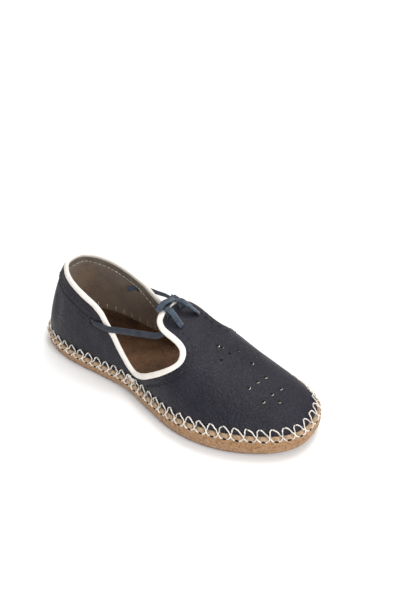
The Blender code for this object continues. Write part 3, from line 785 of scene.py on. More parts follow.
class Finish:
    """A material's nodes, with short ways to add and join them. Sizes are in millimetres."""

    def __init__(self, name, roughness, **constants):
        self.material = bpy.data.materials.new(name)
        self.material.use_nodes = True
        self.tree = self.material.node_tree
        self.shader = self.tree.nodes["Principled BSDF"]
        self.shader.inputs["Roughness"].default_value = roughness
        for socket, amount in constants.items():
            self.shader.inputs[socket.replace("_", " ")].default_value = amount
        self.place = self.tree.nodes.new("ShaderNodeTexCoord").outputs["Object"]
        self.relief = None

    def node(self, kind, **settings):
        """Add a node and set its constant inputs."""
        node = self.tree.nodes.new(kind)
        for socket, amount in settings.items():
            node.inputs[socket.replace("_", " ")].default_value = amount
        return node

    def join(self, output, target):
        """Link an output to an input."""
        self.tree.links.new(output, target)

    def clouds(self, size, detail, rough=0.55, stretch=None):
        """Give a noise of a size."""
        node = self.node("ShaderNodeTexNoise", Scale=1.0 / (size * MM), Detail=detail, Roughness=rough)
        place = self.place
        if stretch:
            mapping = self.node("ShaderNodeMapping", Scale=stretch)
            self.join(place, mapping.inputs["Vector"])
            place = mapping.outputs["Vector"]
        self.join(place, node.inputs["Vector"])
        return node.outputs["Fac"]

    def cells(self, size):
        """Give a pattern of leather cells of a size."""
        node = self.node("ShaderNodeTexVoronoi", Scale=1.0 / (size * MM))
        node.feature = "SMOOTH_F1"
        self.join(self.place, node.inputs["Vector"])
        return node.outputs["Distance"]

    def height(self):
        """Give the height over the floor."""
        node = self.node("ShaderNodeSeparateXYZ")
        self.join(self.place, node.inputs["Vector"])
        return node.outputs["Z"]

    def marked(self, name):
        """Give the value of a mesh attribute."""
        node = self.node("ShaderNodeAttribute")
        node.attribute_name = name
        return node.outputs["Fac"]

    def ramp(self, source, stops):
        """Read a colour ramp: place, colour."""
        node = self.node("ShaderNodeValToRGB")
        band = node.color_ramp
        while len(band.elements) < len(stops):
            band.elements.new(0.5)
        for element, (place, colour) in zip(band.elements, stops):
            element.position = place
            element.color = (*colour, 1.0)
        self.join(source, node.inputs["Fac"])
        return node.outputs["Color"]

    def mask(self, source, low, high):
        """Give 0 to 1 as a value goes from low to high."""
        node = self.node("ShaderNodeMapRange", From_Min=low, From_Max=high)
        self.join(source, node.inputs["Value"])
        return node.outputs["Result"]

    def blend(self, amount, first, second):
        """Mix two colours, each a colour or an output, by an amount."""
        node = self.node("ShaderNodeMix")
        node.data_type = "RGBA"
        self.join(amount, node.inputs["Factor"])
        for socket, colour in ((node.inputs[6], first), (node.inputs[7], second)):
            if isinstance(colour, tuple):
                socket.default_value = (*colour, 1.0)
            else:
                self.join(colour, socket)
        return node.outputs[2]

    def tones(self, base, *patches):
        """Lay patches over a colour: a noise's size, detail and roughness, low, high, colour."""
        for size, detail, rough, low, high, colour in patches:
            base = self.blend(self.mask(self.clouds(size, detail, rough), low, high), base, colour)
        return base

    def colour(self, source):
        """Set the base colour."""
        self.join(source, self.shader.inputs["Base Color"])

    def paint(self, base, *patches):
        """Set the base colour to a colour with patches over it."""
        self.colour(self.tones(base, *patches))

    def rough(self, size, detail, low, high):
        """Vary the roughness between two values with a noise."""
        node = self.node("ShaderNodeMapRange", To_Min=low, To_Max=high)
        self.join(self.clouds(size, detail), node.inputs["Value"])
        self.join(node.outputs["Result"], self.shader.inputs["Roughness"])

    def bump(self, source, depth, strength):
        """Add a relief of a depth."""
        node = self.node("ShaderNodeBump", Strength=strength, Distance=depth * MM)
        self.join(source, node.inputs["Height"])
        if self.relief is not None:
            self.join(self.relief, node.inputs["Normal"])
        self.relief = node.outputs["Normal"]
        self.join(self.relief, self.shader.inputs["Normal"])

    def grain(self, size, detail, rough, depth, strength, stretch=None):
        """Add a relief of noise."""
        self.bump(self.clouds(size, detail, rough, stretch), depth, strength)


# Matt navy leather with a fine grain
NAVY = Finish("navy_leather", 0.5, Specular_IOR_Level=0.22)
NAVY.paint((0.0062, 0.0058, 0.0105),
           (26.0, 3.0, 0.55, 0.34, 0.66, (0.0118, 0.0112, 0.0180)),
           (1.1, 3.0, 0.8, 0.50, 0.74, (0.036, 0.036, 0.050)),
           (5.0, 5.0, 0.7, 0.60, 0.78, (0.022, 0.022, 0.030)))
NAVY.rough(9.0, 4.0, 0.42, 0.64)
NAVY.grain(6.0, 4.0, 0.6, 0.35, 0.5)
NAVY.bump(NAVY.cells(1.6), 0.5, 1.0)
NAVY.grain(0.45, 2.0, 0.6, 0.12, 0.6)

# Brown suede of the shoe's inside
LINING = Finish("suede_lining", 0.95, Specular_IOR_Level=0.15, Sheen_Weight=0.35, Sheen_Roughness=0.6)
LINING.paint((0.115, 0.066, 0.035),
             (18.0, 4.0, 0.55, 0.32, 0.68, (0.215, 0.132, 0.074)),
             (0.9, 4.0, 0.75, 0.45, 0.70, (0.300, 0.200, 0.125)))
LINING.grain(0.7, 4.0, 0.75, 0.35, 0.8)

# Pale strip inside the collar
FACING = Finish("facing_leather", 0.6, Specular_IOR_Level=0.35)
FACING.paint((0.20, 0.165, 0.13), (9.0, 4.0, 0.55, 0.35, 0.7, (0.28, 0.235, 0.19)))
FACING.grain(1.6, 4.0, 0.6, 0.25, 0.6)

# Smooth off-white leather of the binding
WHITE = Finish("white_leather", 0.48, Specular_IOR_Level=0.4, Coat_Weight=0.06, Coat_Roughness=0.4)
WHITE.paint((0.80, 0.75, 0.69),
            (7.0, 4.0, 0.55, 0.35, 0.75, (0.72, 0.67, 0.61)),
            (2.2, 5.0, 0.7, 0.62, 0.80, (0.50, 0.45, 0.39)))
WHITE.rough(4.0, 3.0, 0.40, 0.58)
WHITE.grain(3.0, 3.0, 0.6, 0.3, 0.5)
WHITE.bump(WHITE.cells(0.7), 0.08, 0.5)


def sole_leather():
    """Make rough natural tan leather, with painted shade darkening it towards the floor, and smoother at
    its turned rim.
    """
    finish = Finish("sole_leather", 0.92, Specular_IOR_Level=0.22, Sheen_Weight=0.15, Sheen_Roughness=0.6)
    sand = finish.clouds(2.1, 5.0, 0.78)
    colour = finish.ramp(sand, (
        (0.34, (0.110, 0.048, 0.018)),
        (0.46, (0.270, 0.142, 0.060)),
        (0.58, (0.360, 0.203, 0.095)),
        (0.72, (0.540, 0.355, 0.200)),
    ))
    colour = finish.tones(colour, (17.0, 4.0, 0.6, 0.55, 0.80, (0.350, 0.190, 0.090)))
    # Painted shade: the sole darkens to a deep brown below 5 mm, standing in for its contact shadow and
    # the shade under its rounded bottom edge.
    ground_shade = finish.mask(finish.height(), 5.0 * MM, 0.8 * MM)
    colour = finish.blend(ground_shade, colour, (0.135, 0.070, 0.034))
    rim_tone = finish.tones((0.430, 0.300, 0.190), (2.4, 4.0, 0.55, 0.40, 0.70, (0.320, 0.190, 0.100)))
    finish.colour(finish.blend(finish.marked("rim_share"), colour, rim_tone))
    finish.rough(3.0, 3.0, 0.82, 1.0)
    finish.grain(4.5, 4.0, 0.6, 0.5, 0.6)
    finish.bump(sand, 0.8, 1.0)
    return finish


TAN = sole_leather()

# Warm brown leather inside the sole
INSOLE = Finish("insole_leather", 0.7, Specular_IOR_Level=0.3, Sheen_Weight=0.1)
INSOLE.paint((0.048, 0.020, 0.008),
             (14.0, 6.0, 0.72, 0.36, 0.66, (0.140, 0.066, 0.027)),
             (1.3, 5.0, 0.75, 0.50, 0.75, (0.200, 0.105, 0.050)))
INSOLE.rough(8.0, 3.0, 0.58, 0.88)
INSOLE.grain(1.1, 4.0, 0.7, 0.3, 0.8)

# Off-white waxed thread that has greyed
THREAD = Finish("waxed_thread", 0.55, Specular_IOR_Level=0.45, Coat_Weight=0.1, Coat_Roughness=0.35)
THREAD.paint((0.80, 0.75, 0.68),
             (4.0, 4.0, 0.65, 0.42, 0.66, (0.42, 0.38, 0.33)),
             (0.5, 3.0, 0.7, 0.50, 0.75, (0.86, 0.82, 0.76)))
THREAD.grain(0.25, 2.0, 0.6, 0.1, 0.7, stretch=(1.0, 1.0, 0.4))

# Near black thread of the seams beside the collar
SEAM = Finish("seam_thread", 0.6, Specular_IOR_Level=0.4)
SEAM.paint((0.008, 0.008, 0.013), (2.0, 3.0, 0.55, 0.4, 0.7, (0.024, 0.024, 0.034)))
SEAM.grain(0.3, 2.0, 0.6, 0.08, 0.6)

# Painted shade: the dark walls inside the slits, the lace slots and the punched dots
HOLLOW_SHADE = Finish("painted_hollow_shade", 0.95, Specular_IOR_Level=0.1)
HOLLOW_SHADE.paint((0.022, 0.010, 0.005), (0.8, 3.0, 0.55, 0.4, 0.7, (0.070, 0.034, 0.017)))

# Navy grain side of the lace
LACE_GRAIN = Finish("lace_grain", 0.6, Specular_IOR_Level=0.4)
LACE_GRAIN.paint((0.012, 0.015, 0.024), (5.0, 4.0, 0.55, 0.35, 0.7, (0.030, 0.036, 0.052)))
LACE_GRAIN.bump(LACE_GRAIN.cells(0.7), 0.15, 0.7)

# Blue suede side of the lace
LACE_SUEDE = Finish("lace_suede", 0.95, Specular_IOR_Level=0.15, Sheen_Weight=0.3, Sheen_Roughness=0.5)
LACE_SUEDE.paint((0.018, 0.027, 0.044),
                 (4.0, 4.0, 0.65, 0.35, 0.68, (0.052, 0.072, 0.102)),
                 (0.6, 4.0, 0.75, 0.52, 0.72, (0.130, 0.162, 0.205)))
LACE_SUEDE.grain(0.6, 4.0, 0.75, 0.3, 0.8)


# The upper


class UpperGrid:
    """The leather's ribs over the last, from the sole's rim to the collar or to the tab's root."""

    def __init__(self):
        places = np.linspace(*COLLAR_LINE.deepest, WALL_RIBS + 1)
        edges = COLLAR_LINE.beside(places, UNDER_BINDING)
        turns = smooth(places, COLLAR_LINE.wall_places, COLLAR_LINE.wall_turns)
        share = np.arange(1, TAB_CELLS) / TAB_CELLS
        root = edges[-1, :2] * (1 - share)[:, None] + edges[0, :2] * share[:, None]
        root_turns = turns[-1] + (FULL_TURN + turns[0] - turns[-1]) * share
        self.ends = np.concatenate([edges, over(root[:, 0], root[:, 1])])
        self.turns = np.concatenate([turns, root_turns])
        self.lines = self.rib_lines()
        self.walked = np.array([walk(line) for line in self.lines])

    def rib_lines(self):
        """Give every rib as a fine line of points, closest together at the rim."""
        share = np.linspace(0.0, 1.0, RIB_POINTS)[None, :, None] ** RIB_POWER
        start = outline(self.turns, LEDGE)
        plan = start[:, None, :] * (1 - share) + self.ends[:, None, :2] * share
        lines = over(plan[..., 0], plan[..., 1])
        lines[:, 0, 2] = rim(start[:, 0]) + GAP
        lines[:, -1] = self.ends
        return lines

    def rows(self):
        """Give points, distances from the rim and distances from the collar's edge, rib by rib."""
        points, from_rim, from_edge = [], [], []
        for rib, (line, walked) in enumerate(zip(self.lines, self.walked)):
            total, wall = walked[-1], rib <= WALL_RIBS
            near = total - np.array(EDGE_ROWS) * (min(1.0, total / EDGE_ROWS_REACH) if wall else 1.0)
            plain = np.linspace(0.0, 1.0, PLAIN_ROWS + 1) ** ROW_POWER * near[0]
            stops = np.concatenate([plain, near[1:]])
            points.append(read_line(np.interp, stops, walked, line))
            from_rim.append(stops)
            from_edge.append(total - stops if wall else np.full(len(stops), FAR_FROM_EDGE))
        return np.array(points), np.array(from_rim), np.array(from_edge)

    def leather(self, step, distance):
        """Give the leather's point at a number of stitches along the rim and a distance from it."""
        order = np.argsort((self.turns + math.pi) % FULL_TURN)
        turns = (self.turns[order] + math.pi) % FULL_TURN
        turn = (float(RIM_LINE.turn(step)) + math.pi) % FULL_TURN
        after = int(np.searchsorted(turns, turn)) % len(order)
        before = (after - 1) % len(order)
        share = (turn - turns[before]) % FULL_TURN / ((turns[after] - turns[before]) % FULL_TURN)
        found = []
        for rib in (order[before], order[after]):
            reach = min(distance, self.walked[rib, -1])
            found.append(read_line(np.interp, reach, self.walked[rib], self.lines[rib]))
        return found[0] * (1 - share) + found[1] * share


def crease_lift(points):
    """Give the dents of the soft creases at points, each with a low ridge beside it."""
    lift = np.zeros(len(points))
    for start, end, depth, wide in CREASES:
        start, along = np.array(start), np.array(end) - np.array(start)
        share = (points - start) @ along / along.dot(along)
        nearest = start + np.clip(share, 0.0, 1.0)[:, None] * along
        distance = np.linalg.norm(points - nearest, axis=1)
        fade = soft_step(CREASE_WHOLE - np.abs(share - 0.5) * CREASE_FADE)
        dent, ridge = bell(distance, 0.0, wide, -depth), bell(distance, RIDGE_AT * wide, wide, depth / 2)
        lift += fade * (dent + ridge)
    return lift


def leather_lift(points, turns, from_rim, from_edge):
    """Give how far the leather stands off the last."""
    x = points[:, 0]
    casing = CASING_STEP * np.clip((CASING_END - x) / CASING_FADE, 0.0, 1.0)
    on_vamp = np.clip((x - VAMP_START) / VAMP_FADE, 0.0, 1.0)
    wave = np.cos(FULL_TURN * RIM_LINE.phase(turns))
    from_line = from_edge + UNDER_BINDING
    lift = casing * (soft_step(CASING_WIDTH - from_edge) + bell(from_edge, *CASING_GROOVE))
    lift += on_vamp * (bell(from_line, *VAMP_GROOVE) + bell(from_line, *VAMP_RIDGE))
    lift += wave * bell(from_rim, *PUCKER) * soft_step(from_rim / PUCKER_START)
    lift += np.maximum(0.0, wave) ** 4 * bell(from_rim, *HOLE_DENT)
    soft = soft_step(from_edge / CALM_COLLAR) * soft_step(from_rim / CALM_RIM)
    return lift + soft * (crease_lift(points) + uneven(points, LEATHER_UNEVEN))


def tab_grid(grid, points, faces, stride):
    """Add the tab's cells between its root and its end, and give its points' fade to its edges."""
    line, ribs = COLLAR_LINE, len(grid.turns)
    root = [(WALL_RIBS + cell) % ribs * stride + stride - 1 for cell in range(TAB_CELLS + 1)]
    right, left = (line.beside(np.linspace(*ends, TAB_ROWS + 1), UNDER_BINDING)
                   for ends in zip(line.deepest, line.corner))
    tip = np.linspace(line.corner[1], line.length + line.corner[0], TAB_CELLS + 1)
    end = line.beside(tip, UNDER_BINDING)
    u = np.linspace(0.0, 1.0, TAB_CELLS + 1)[:, None]
    base = np.array([points[index] for index in root])
    rows, fades = [root], []
    for row in range(1, TAB_ROWS + 1):
        v = row / TAB_ROWS
        sides = left[row] * (1 - u) + right[row] * u
        ends = base * (1 - v) + end * v
        corners = (base[0] * (1 - u) + base[-1] * u) * (1 - v) + (end[0] * (1 - u) + end[-1] * u) * v
        spots = sides + ends - corners
        if row < TAB_ROWS:
            spots[1:-1, 2] = surface(spots[1:-1, 0], spots[1:-1, 1])
        rows.append(list(range(len(points), len(points) + TAB_CELLS + 1)))
        points.extend(spots)
        fade = soft_step(np.minimum(u[:, 0], 1 - u[:, 0]) * TAB_SIDE_FADE)
        fades.extend(fade * soft_step((1 - v) * TAB_END_FADE))
    for first, second in zip(rows, rows[1:]):
        for cell in range(TAB_CELLS):
            faces.append((first[cell], first[cell + 1], second[cell + 1], second[cell]))
    return np.array(fades)


def upper_shell(grid):
    """Give the upper's outer points, inner points and outer faces."""
    rows, from_rim, from_edge = grid.rows()
    ribs, stride = rows.shape[:2]
    flat = rows.reshape(-1, 3)
    normals = normal(flat)
    normals[::stride] = rim_normal(grid.turns)
    lifts = leather_lift(flat, np.repeat(grid.turns, stride), from_rim.ravel(), from_edge.ravel())
    points, faces = list(flat), []
    for rib in range(ribs):
        for row in range(stride - 1):
            first, second = rib * stride + row, (rib + 1) % ribs * stride + row
            faces.append((first, second, second + 1, first + 1))
    fades = tab_grid(grid, points, faces, stride)
    points = np.array(points)
    tab = points[len(flat):]
    normals = np.concatenate([normals, normal(tab)])
    lifts = np.concatenate([lifts, fades * uneven(tab, LEATHER_UNEVEN)])[:, None]
    outer = points + normals * lifts
    inner = points - normals * WALL + normals * np.minimum(lifts, 0.0) * DENT_INSIDE
    return outer, inner, faces


def border_edges(faces):
    """Give the directed edges that only one face has."""
    edges = set()
    for face in faces:
        edges.update(zip(face, face[1:] + face[:1]))
    return sorted(edge for edge in edges if (edge[1], edge[0]) not in edges)


def build_upper(grid):
    """Make the navy upper with its suede inside, and cut its slots and dots."""
    outer, inner, faces = upper_shell(grid)
    count = len(outer)
    closed = list(faces)
    closed += [(second, first, first + count, second + count) for first, second in border_edges(faces)]
    inside = [tuple(index + count for index in reversed(face)) for face in faces]
    # The third finish paints shade on the walls of the lace slots and the dots.
    finishes, indices = [NAVY, LINING, HOLLOW_SHADE], [0] * len(closed) + [1] * len(inside)
    piece = make_piece("upper_leather", np.concatenate([outer, inner]), closed + inside, finishes, indices)
    carve(piece, slot_blocks() + dot_posts(), finishes)
    dress(piece, "upper", "upper")


def post(centre, width, length, upward, sizes, sides=12):
    """Give a round or oval post's corners and faces about a centre."""
    angle = FULL_TURN * np.arange(sides) / sides
    ring = centre + np.outer(np.cos(angle) * sizes[0], width) + np.outer(np.sin(angle) * sizes[1], length)
    points = np.concatenate([ring - upward * sizes[2] / 2, ring + upward * sizes[2] / 2])
    return points, ring_faces(2, sides) + end_faces(2, sides)


def directions(point, along):
    """Give width, length and outward directions of a slot at a point of the leather."""
    outward = normal(point)
    length = square_to(np.array(along), outward)
    return np.cross(length, outward), length, outward


def slot_blocks():
    """Give the blocks that cut the four lace slots."""
    blocks = []
    for side in (RIGHT, LEFT):
        for centre, along in ((quarter_point(QUARTER_SLOT, side), (0, 0, 1)),
                              (over(TAB_SLOT[0], side * TAB_SLOT[1]), (0, 1, 0))):
            edges = np.array(directions(centre, along)) * np.array(SLOT_CUT)[:, None] / 2
            blocks.append((centre + np.array(BLOCK_CORNERS) @ edges, BLOCK_FACES))
    return blocks


def dot_posts():
    """Give the posts that punch the dots."""
    sizes = (DOT_RADIUS, DOT_RADIUS, DOT_DEPTH)
    return [post(over(x, y), *directions(over(x, y), (1, 0, 0)), sizes) for x, y in DOTS]


def carve(piece, shapes, finishes):
    """Cut closed shapes out of a piece, and give what they cut the piece's third finish."""
    points, faces, count = [], [], 0
    for corners, sides in shapes:
        points.append(corners)
        faces += [tuple(index + count for index in side) for side in sides]
        count += len(corners)
    cutter = make_piece("cutter", np.concatenate(points), faces, finishes, [2] * len(faces))
    cut = piece.modifiers.new("cut", "BOOLEAN")
    cut.operation = "DIFFERENCE"
    cut.solver = "EXACT"
    cut.object = cutter
    graph = bpy.context.evaluated_depsgraph_get()
    whole = piece.data
    piece.data = bpy.data.meshes.new_from_object(piece.evaluated_get(graph))
    piece.modifiers.clear()
    bpy.data.meshes.remove(whole)
    bpy.data.objects.remove(cutter)


# The sole


def sole_lift(x):
    """Give the height of the sole's underside: flat heel and forefoot, a low arch, a toe spring."""
    share = x / LENGTH
    along = np.clip((share - ARCH[0]) / (ARCH[1] - ARCH[0]), 0.0, 1.0)
    spring = np.clip((share - TOE_SPRING_FROM) / (1 - TOE_SPRING_FROM), 0.0, 1.0)
    return ARCH_LIFT * np.sin(math.pi * along) ** 2 + TOE_SPRING * spring ** 2


def side_height(x, share):
    """Give the height at a share of the way from the sole's underside to its rim."""
    return sole_lift(x) * (1 - share) + rim(x) * share


def side_inset(share):
    """Give the inset of the sole's side at a share of the rim's height."""
    insets, shares = zip(*SOLE_SIDE)
    return float(smooth(share, shares, insets))


def side_point(step, share, out):
    """Give the point of the sole's side at a number of stitches along the rim."""
    x, y = outline(RIM_LINE.turn(step), side_inset(share) - out)
    return np.array([x, y, float(side_height(x, share))])


def even_turns(count):
    """Give turns at even steps, from the toe round to the toe."""
    return -math.pi + FULL_TURN * np.arange(count) / count


def sole_ring(turns, inset, share, scallop, drop):
    """Give one ring of the sole, with its scallops."""
    wave = (np.cos(FULL_TURN * RIM_LINE.phase(turns)) * scallop)[:, None]
    plan = outline(turns, inset)
    plan = plan + (outline(turns, inset - 1.0) - plan) * wave * SCALLOP_OUT
    return np.column_stack([plan, side_height(plan[:, 0], share) + wave[:, 0] * SCALLOP_RISE - drop])


def sole_rings(turns):
    """Give the rings of the outside and of the inside."""
    rows = []
    for share in SIDE_SHARES:
        rows.append((side_inset(share), share, soft_step((share - SCALLOP_FROM) / SCALLOP_FADE), 0.0))
    rows += [(inset, 1.0, scallop, drop) for inset, drop, scallop in TOP_RINGS]
    outside = [sole_ring(turns, *row) for row in rows]
    inside = []
    for inset, share in TRAY_INSIDE:
        plan = outline(turns, inset)
        inside.append(np.column_stack([plan, side_height(plan[:, 0], share) + SOLE_THICK * (1 - share)]))
    return outside, inside


def build_sole():
    """Make the turned-up sole: rough outside, scalloped rim, brown inside and slits for the thread."""
    turns = even_turns(SOLE_STEPS)
    outside, inside = sole_rings(turns)
    count = len(outside) + len(inside)
    points = np.concatenate(outside + inside)
    shares = np.array([*SIDE_SHARES, *(1.0 for _ in TOP_RINGS), *(0.0 for _ in inside)])
    mask = np.repeat(soft_step((shares - ROUGH_FROM) / ROUGH_FADE), SOLE_STEPS)
    level = np.tile(rim_normal(turns), (count, 1))
    points = points + level * (uneven(points, SOLE_UNEVEN) * mask)[:, None]
    faces = ring_faces(count, SOLE_STEPS)
    indices = [0] * (SOLE_STEPS * len(outside)) + [1] * (SOLE_STEPS * (len(inside) - 1))
    for ring, index in ((0, 0), (count - 1, 1)):
        caps = footprint_strips(ring * SOLE_STEPS, SOLE_STEPS)
        faces += caps
        indices += [index] * len(caps)
    # The third finish paints shade on the walls of the slits.
    finishes = [TAN, INSOLE, HOLLOW_SHADE]
    piece = make_piece("sole_tray", points, faces, finishes, indices)
    carve(piece, slit_posts(), finishes)
    mark_rim(piece)
    dress(piece, "sole", "outsole")


def slit_share(step):
    """Give the slits' share of the rim's height at a number of stitches along the rim."""
    x = float(outline(RIM_LINE.turn(step))[0])
    return 1.0 - SLIT_DROP / float(rim(x))


def slit_posts():
    """Give the oval posts that cut the slits into the sole's side."""
    posts, upward = [], np.array([0.0, 0.0, 1.0])
    for step in range(STITCHES):
        centre = side_point(step, slit_share(step), -SLIT_SINK)
        outward = rim_normal(RIM_LINE.turn(step))
        posts.append(post(centre, np.cross(upward, outward), upward, -outward, SLIT_CUT, 10))
    return posts


def mark_rim(piece):
    """Store how near each point is to the sole's rim."""
    points = np.array([vertex.co for vertex in piece.data.vertices]) / MM + ORIGIN
    below = rim(points[:, 0]) - points[:, 2]
    mark = piece.data.attributes.new("rim_share", "FLOAT", "POINT")
    mark.data.foreach_set("value", soft_step((RIM_TONE_DROP - below) / RIM_TONE_FADE).astype(np.float32))


def build_insole():
    """Make the insole's board, a little hollow where the foot presses, with a worn edge."""
    turns = even_turns(INSOLE_STEPS)
    base = SOLE_THICK + GAP
    face = [(inset, INSOLE_THICK - INSOLE_WORN * soft_step((inset - WORN_FROM) / WORN_REACH))
            for inset in INSOLE_FACE]
    rings = []
    for inset, height in (*INSOLE_EDGE, *face):
        plan = outline(turns, INSOLE_INSET + inset)
        rings.append(np.column_stack([plan, sole_lift(plan[:, 0]) + base + height]))
    points = np.concatenate(rings)
    points[:, 2] += np.where(points[:, 2] > base + INSOLE_EVEN, uneven(points, INSOLE_UNEVEN), 0.0)
    faces = ring_faces(len(rings), INSOLE_STEPS) + footprint_strips(0, INSOLE_STEPS)
    faces += footprint_strips((len(rings) - 1) * INSOLE_STEPS, INSOLE_STEPS)
    dress(make_piece("insole_board", points, faces, [INSOLE]), "insole", "insole")


# Binding, facing and seams


def build_binding():
    """Make the rolled white strip round the opening."""
    places = np.linspace(0.0, COLLAR_LINE.length, BINDING_RINGS, endpoint=False)
    point, _, outward, away = COLLAR_LINE.frame(places)
    middle = point - outward * (WALL / 2)
    corners = section(*BINDING_SECTION)
    points = worn(sweep(middle, away, outward, corners), middle, BINDING_UNEVEN)
    faces = ring_faces(BINDING_RINGS, len(corners), closed_rings=True)
    dress(make_piece("white_binding", points, faces, [WHITE]), "binding", "collar_binding")


def facing_reach(places):
    """Give the width of the strip inside the collar, narrower where the wall is low."""
    x, _, z = COLLAR_LINE.point(places).T
    room = np.where(x > FACING_ON_TAB, FACING_WIDTH, z - rim(x) - FACING_CLEAR)
    return np.clip(room, LEAST_FACING, FACING_WIDTH)


def build_facing():
    """Make the pale strip that is sewn inside the collar."""
    places = np.linspace(0.0, COLLAR_LINE.length, FACING_RINGS, endpoint=False)
    reach = facing_reach(places)
    outer, inner = [], []
    for share in np.linspace(0.0, 1.0, FACING_ROWS):
        spot = COLLAR_LINE.beside(places, FACING_START + (reach - FACING_START) * share)
        outer.append(spot - normal(spot) * FACING_DEPTHS[0])
        inner.append(spot - normal(spot) * (FACING_EDGE_DEPTH if share == 1.0 else FACING_DEPTHS[1]))
    rows = outer + inner[::-1]
    points = np.stack(rows, axis=1).reshape(-1, 3)
    faces = ring_faces(FACING_RINGS, len(rows), closed_rings=True)
    dress(make_piece("collar_facing", points, faces, [FACING]), "binding")


def dashes(tubes, places, distance, lift, radius):
    """Add stitches beside the collar at places along it."""
    for place in places:
        spots = np.linspace(place - SEAM_STITCH / 2, place + SEAM_STITCH / 2, len(DASH_ARCH))
        line = COLLAR_LINE.beside(spots, np.broadcast_to(distance, spots.shape))
        rise = lift + np.array(DASH_ARCH) * radius * 2
        tubes.add(line + normal(line) * rise[:, None], radius, flat=0.8)


def build_collar_seams():
    """Make the dark seams beside the binding: round the bays and the tab, and along the casing."""
    tubes = TubeSet()
    line = COLLAR_LINE
    bay, casing = line.pair(BAY_SEAM_ROW)[0], line.pair(CASING_SEAM_ROW)[0]
    for start, end, distance, seam in (
            (line.corner[0] + SEAM_FROM_CORNER, bay, SEAM_DISTANCE, VAMP_SEAM),
            (line.length - bay, line.corner[1] - SEAM_FROM_CORNER, SEAM_DISTANCE, VAMP_SEAM),
            (casing, line.length - casing, CASING_SEAM_DISTANCE, CASING_SEAM)):
        dashes(tubes, np.linspace(start, end, int((end - start) / SEAM_PITCH)), distance, *seam)
    tubes.piece("collar_seams", SEAM, "upper")


def build_dot_glints():
    """Make the painted highlight: a pale glint on the toe side of each punched dot."""
    tubes = TubeSet()
    turns = np.random.default_rng(23).uniform(-0.5, 0.5, len(DOTS))
    for (x, y), turn in zip(DOTS, turns):
        angle = turn + np.linspace(-DOT_GLINT_TURN, DOT_GLINT_TURN, 9)
        reach = DOT_RADIUS + DOT_GLINT_OUT
        line = over(x + reach * np.cos(angle), y + reach * np.sin(angle), DOT_GLINT_RISE)
        tubes.add(line, DOT_GLINT_RADIUS, sides=5, flat=0.7)
    tubes.piece("dot_glints", THREAD, "upper")


def build_facing_seam():
    """Make the pale stitches along the strip inside the collar."""
    tubes = TubeSet()
    places = np.arange(0.0, COLLAR_LINE.length, SEAM_PITCH)
    for place, distance in zip(places, facing_reach(places) - FACING_SEAM_FROM_EDGE):
        dashes(tubes, [place], distance, *FACING_SEAM)
    tubes.piece("facing_seam", THREAD, "binding")


# The waxed thread round the rim


def stitch_line(grid, step, way, upper):
    """Give one strand: out of the sole's slit, over the rim and into the leather one stitch on."""
    def at(share):
        return step + way * (SLIT_HALF + (1 - SLIT_HALF) * share)

    low = slit_share(step)
    lifts = iter(np.array(LIFT_SHARES) * (STRAND_LIFT if upper else 0.0))
    line = []
    for share, rise, out in STRAND_SIDE:
        line.append(side_point(at(share), low + (1 - low) * rise, out + next(lifts)))
    for share, inset, height, drawn in STRAND_TOP:
        x, y = outline(RIM_LINE.turn(at(share)), inset - (drawn if upper else 0.0))
        line.append(np.array([x, y, float(rim(x)) + height + next(lifts)]))
    for share, distance, out in STRAND_IN:
        spot = grid.leather(at(share), distance)
        line.append(spot + normal(spot) * (out + next(lifts)))
    return np.array(line)


def build_rim_thread(grid):
    """Make the crossed stitches that sew the sole to the upper."""
    tubes = TubeSet()
    wobble = np.random.default_rng(11)
    for step in range(STITCHES):
        for way in (1, -1):
            line = stitch_line(grid, step, way, way == 1)
            line[1:-1] += wobble.normal(0.0, STRAND_WOBBLE, (len(line) - 2, 3))
            line[4:-1, 2] += wobble.normal(0.0, TOP_WOBBLE)
            tubes.add_thread(line)
    tubes.piece("rim_thread", THREAD, "sole")


def build_inner_thread(grid):
    """Make the short upright stitches inside, where the upper meets the sole."""
    tubes = TubeSet()
    for step in range(STITCHES):
        spot, low = grid.leather(step, HOLE_RISE), grid.leather(step, HOLE_RISE - INNER_STITCH)
        line = [spot - normal(spot) * INNER_ENDS, spot - normal(spot) * INNER_OUT]
        line += [(spot + low) / 2 - normal(spot) * INNER_BOW, low - normal(low) * INNER_OUT]
        line.append(low - normal(low) * INNER_ENDS)
        tubes.add(refine(line, INNER_STEP), THREAD_RADIUS * 0.95)
    tubes.piece("inner_thread", THREAD, "sole")


def build_thread_knots(grid):
    """Make the bunched thread at the low corner of each bay, where the sewing starts and ends."""
    tubes = TubeSet()
    wobble = np.random.default_rng(5)
    for side in (RIGHT, LEFT):
        middle = float(RIM_LINE.phase(side * turn_at(KNOT_AT)))
        for turn in range(KNOT_STRANDS):
            start, end = middle - 0.55 + 0.22 * turn, middle + 0.1 + 0.2 * turn
            line = []
            for share in np.linspace(0.0, 1.0, KNOT_POINTS):
                distance = KNOT_REACH * math.sin(math.pi * share) * (0.75 + 0.1 * turn)
                spot = grid.leather(start + (end - start) * share, max(0.3, distance))
                line.append(spot + normal(spot) * (0.7 + 0.45 * turn * share))
            tubes.add_thread(np.array(line) + wobble.normal(0.0, KNOT_WOBBLE, (KNOT_POINTS, 3)))
    tubes.piece("thread_knots", THREAD, "sole")


# The lace


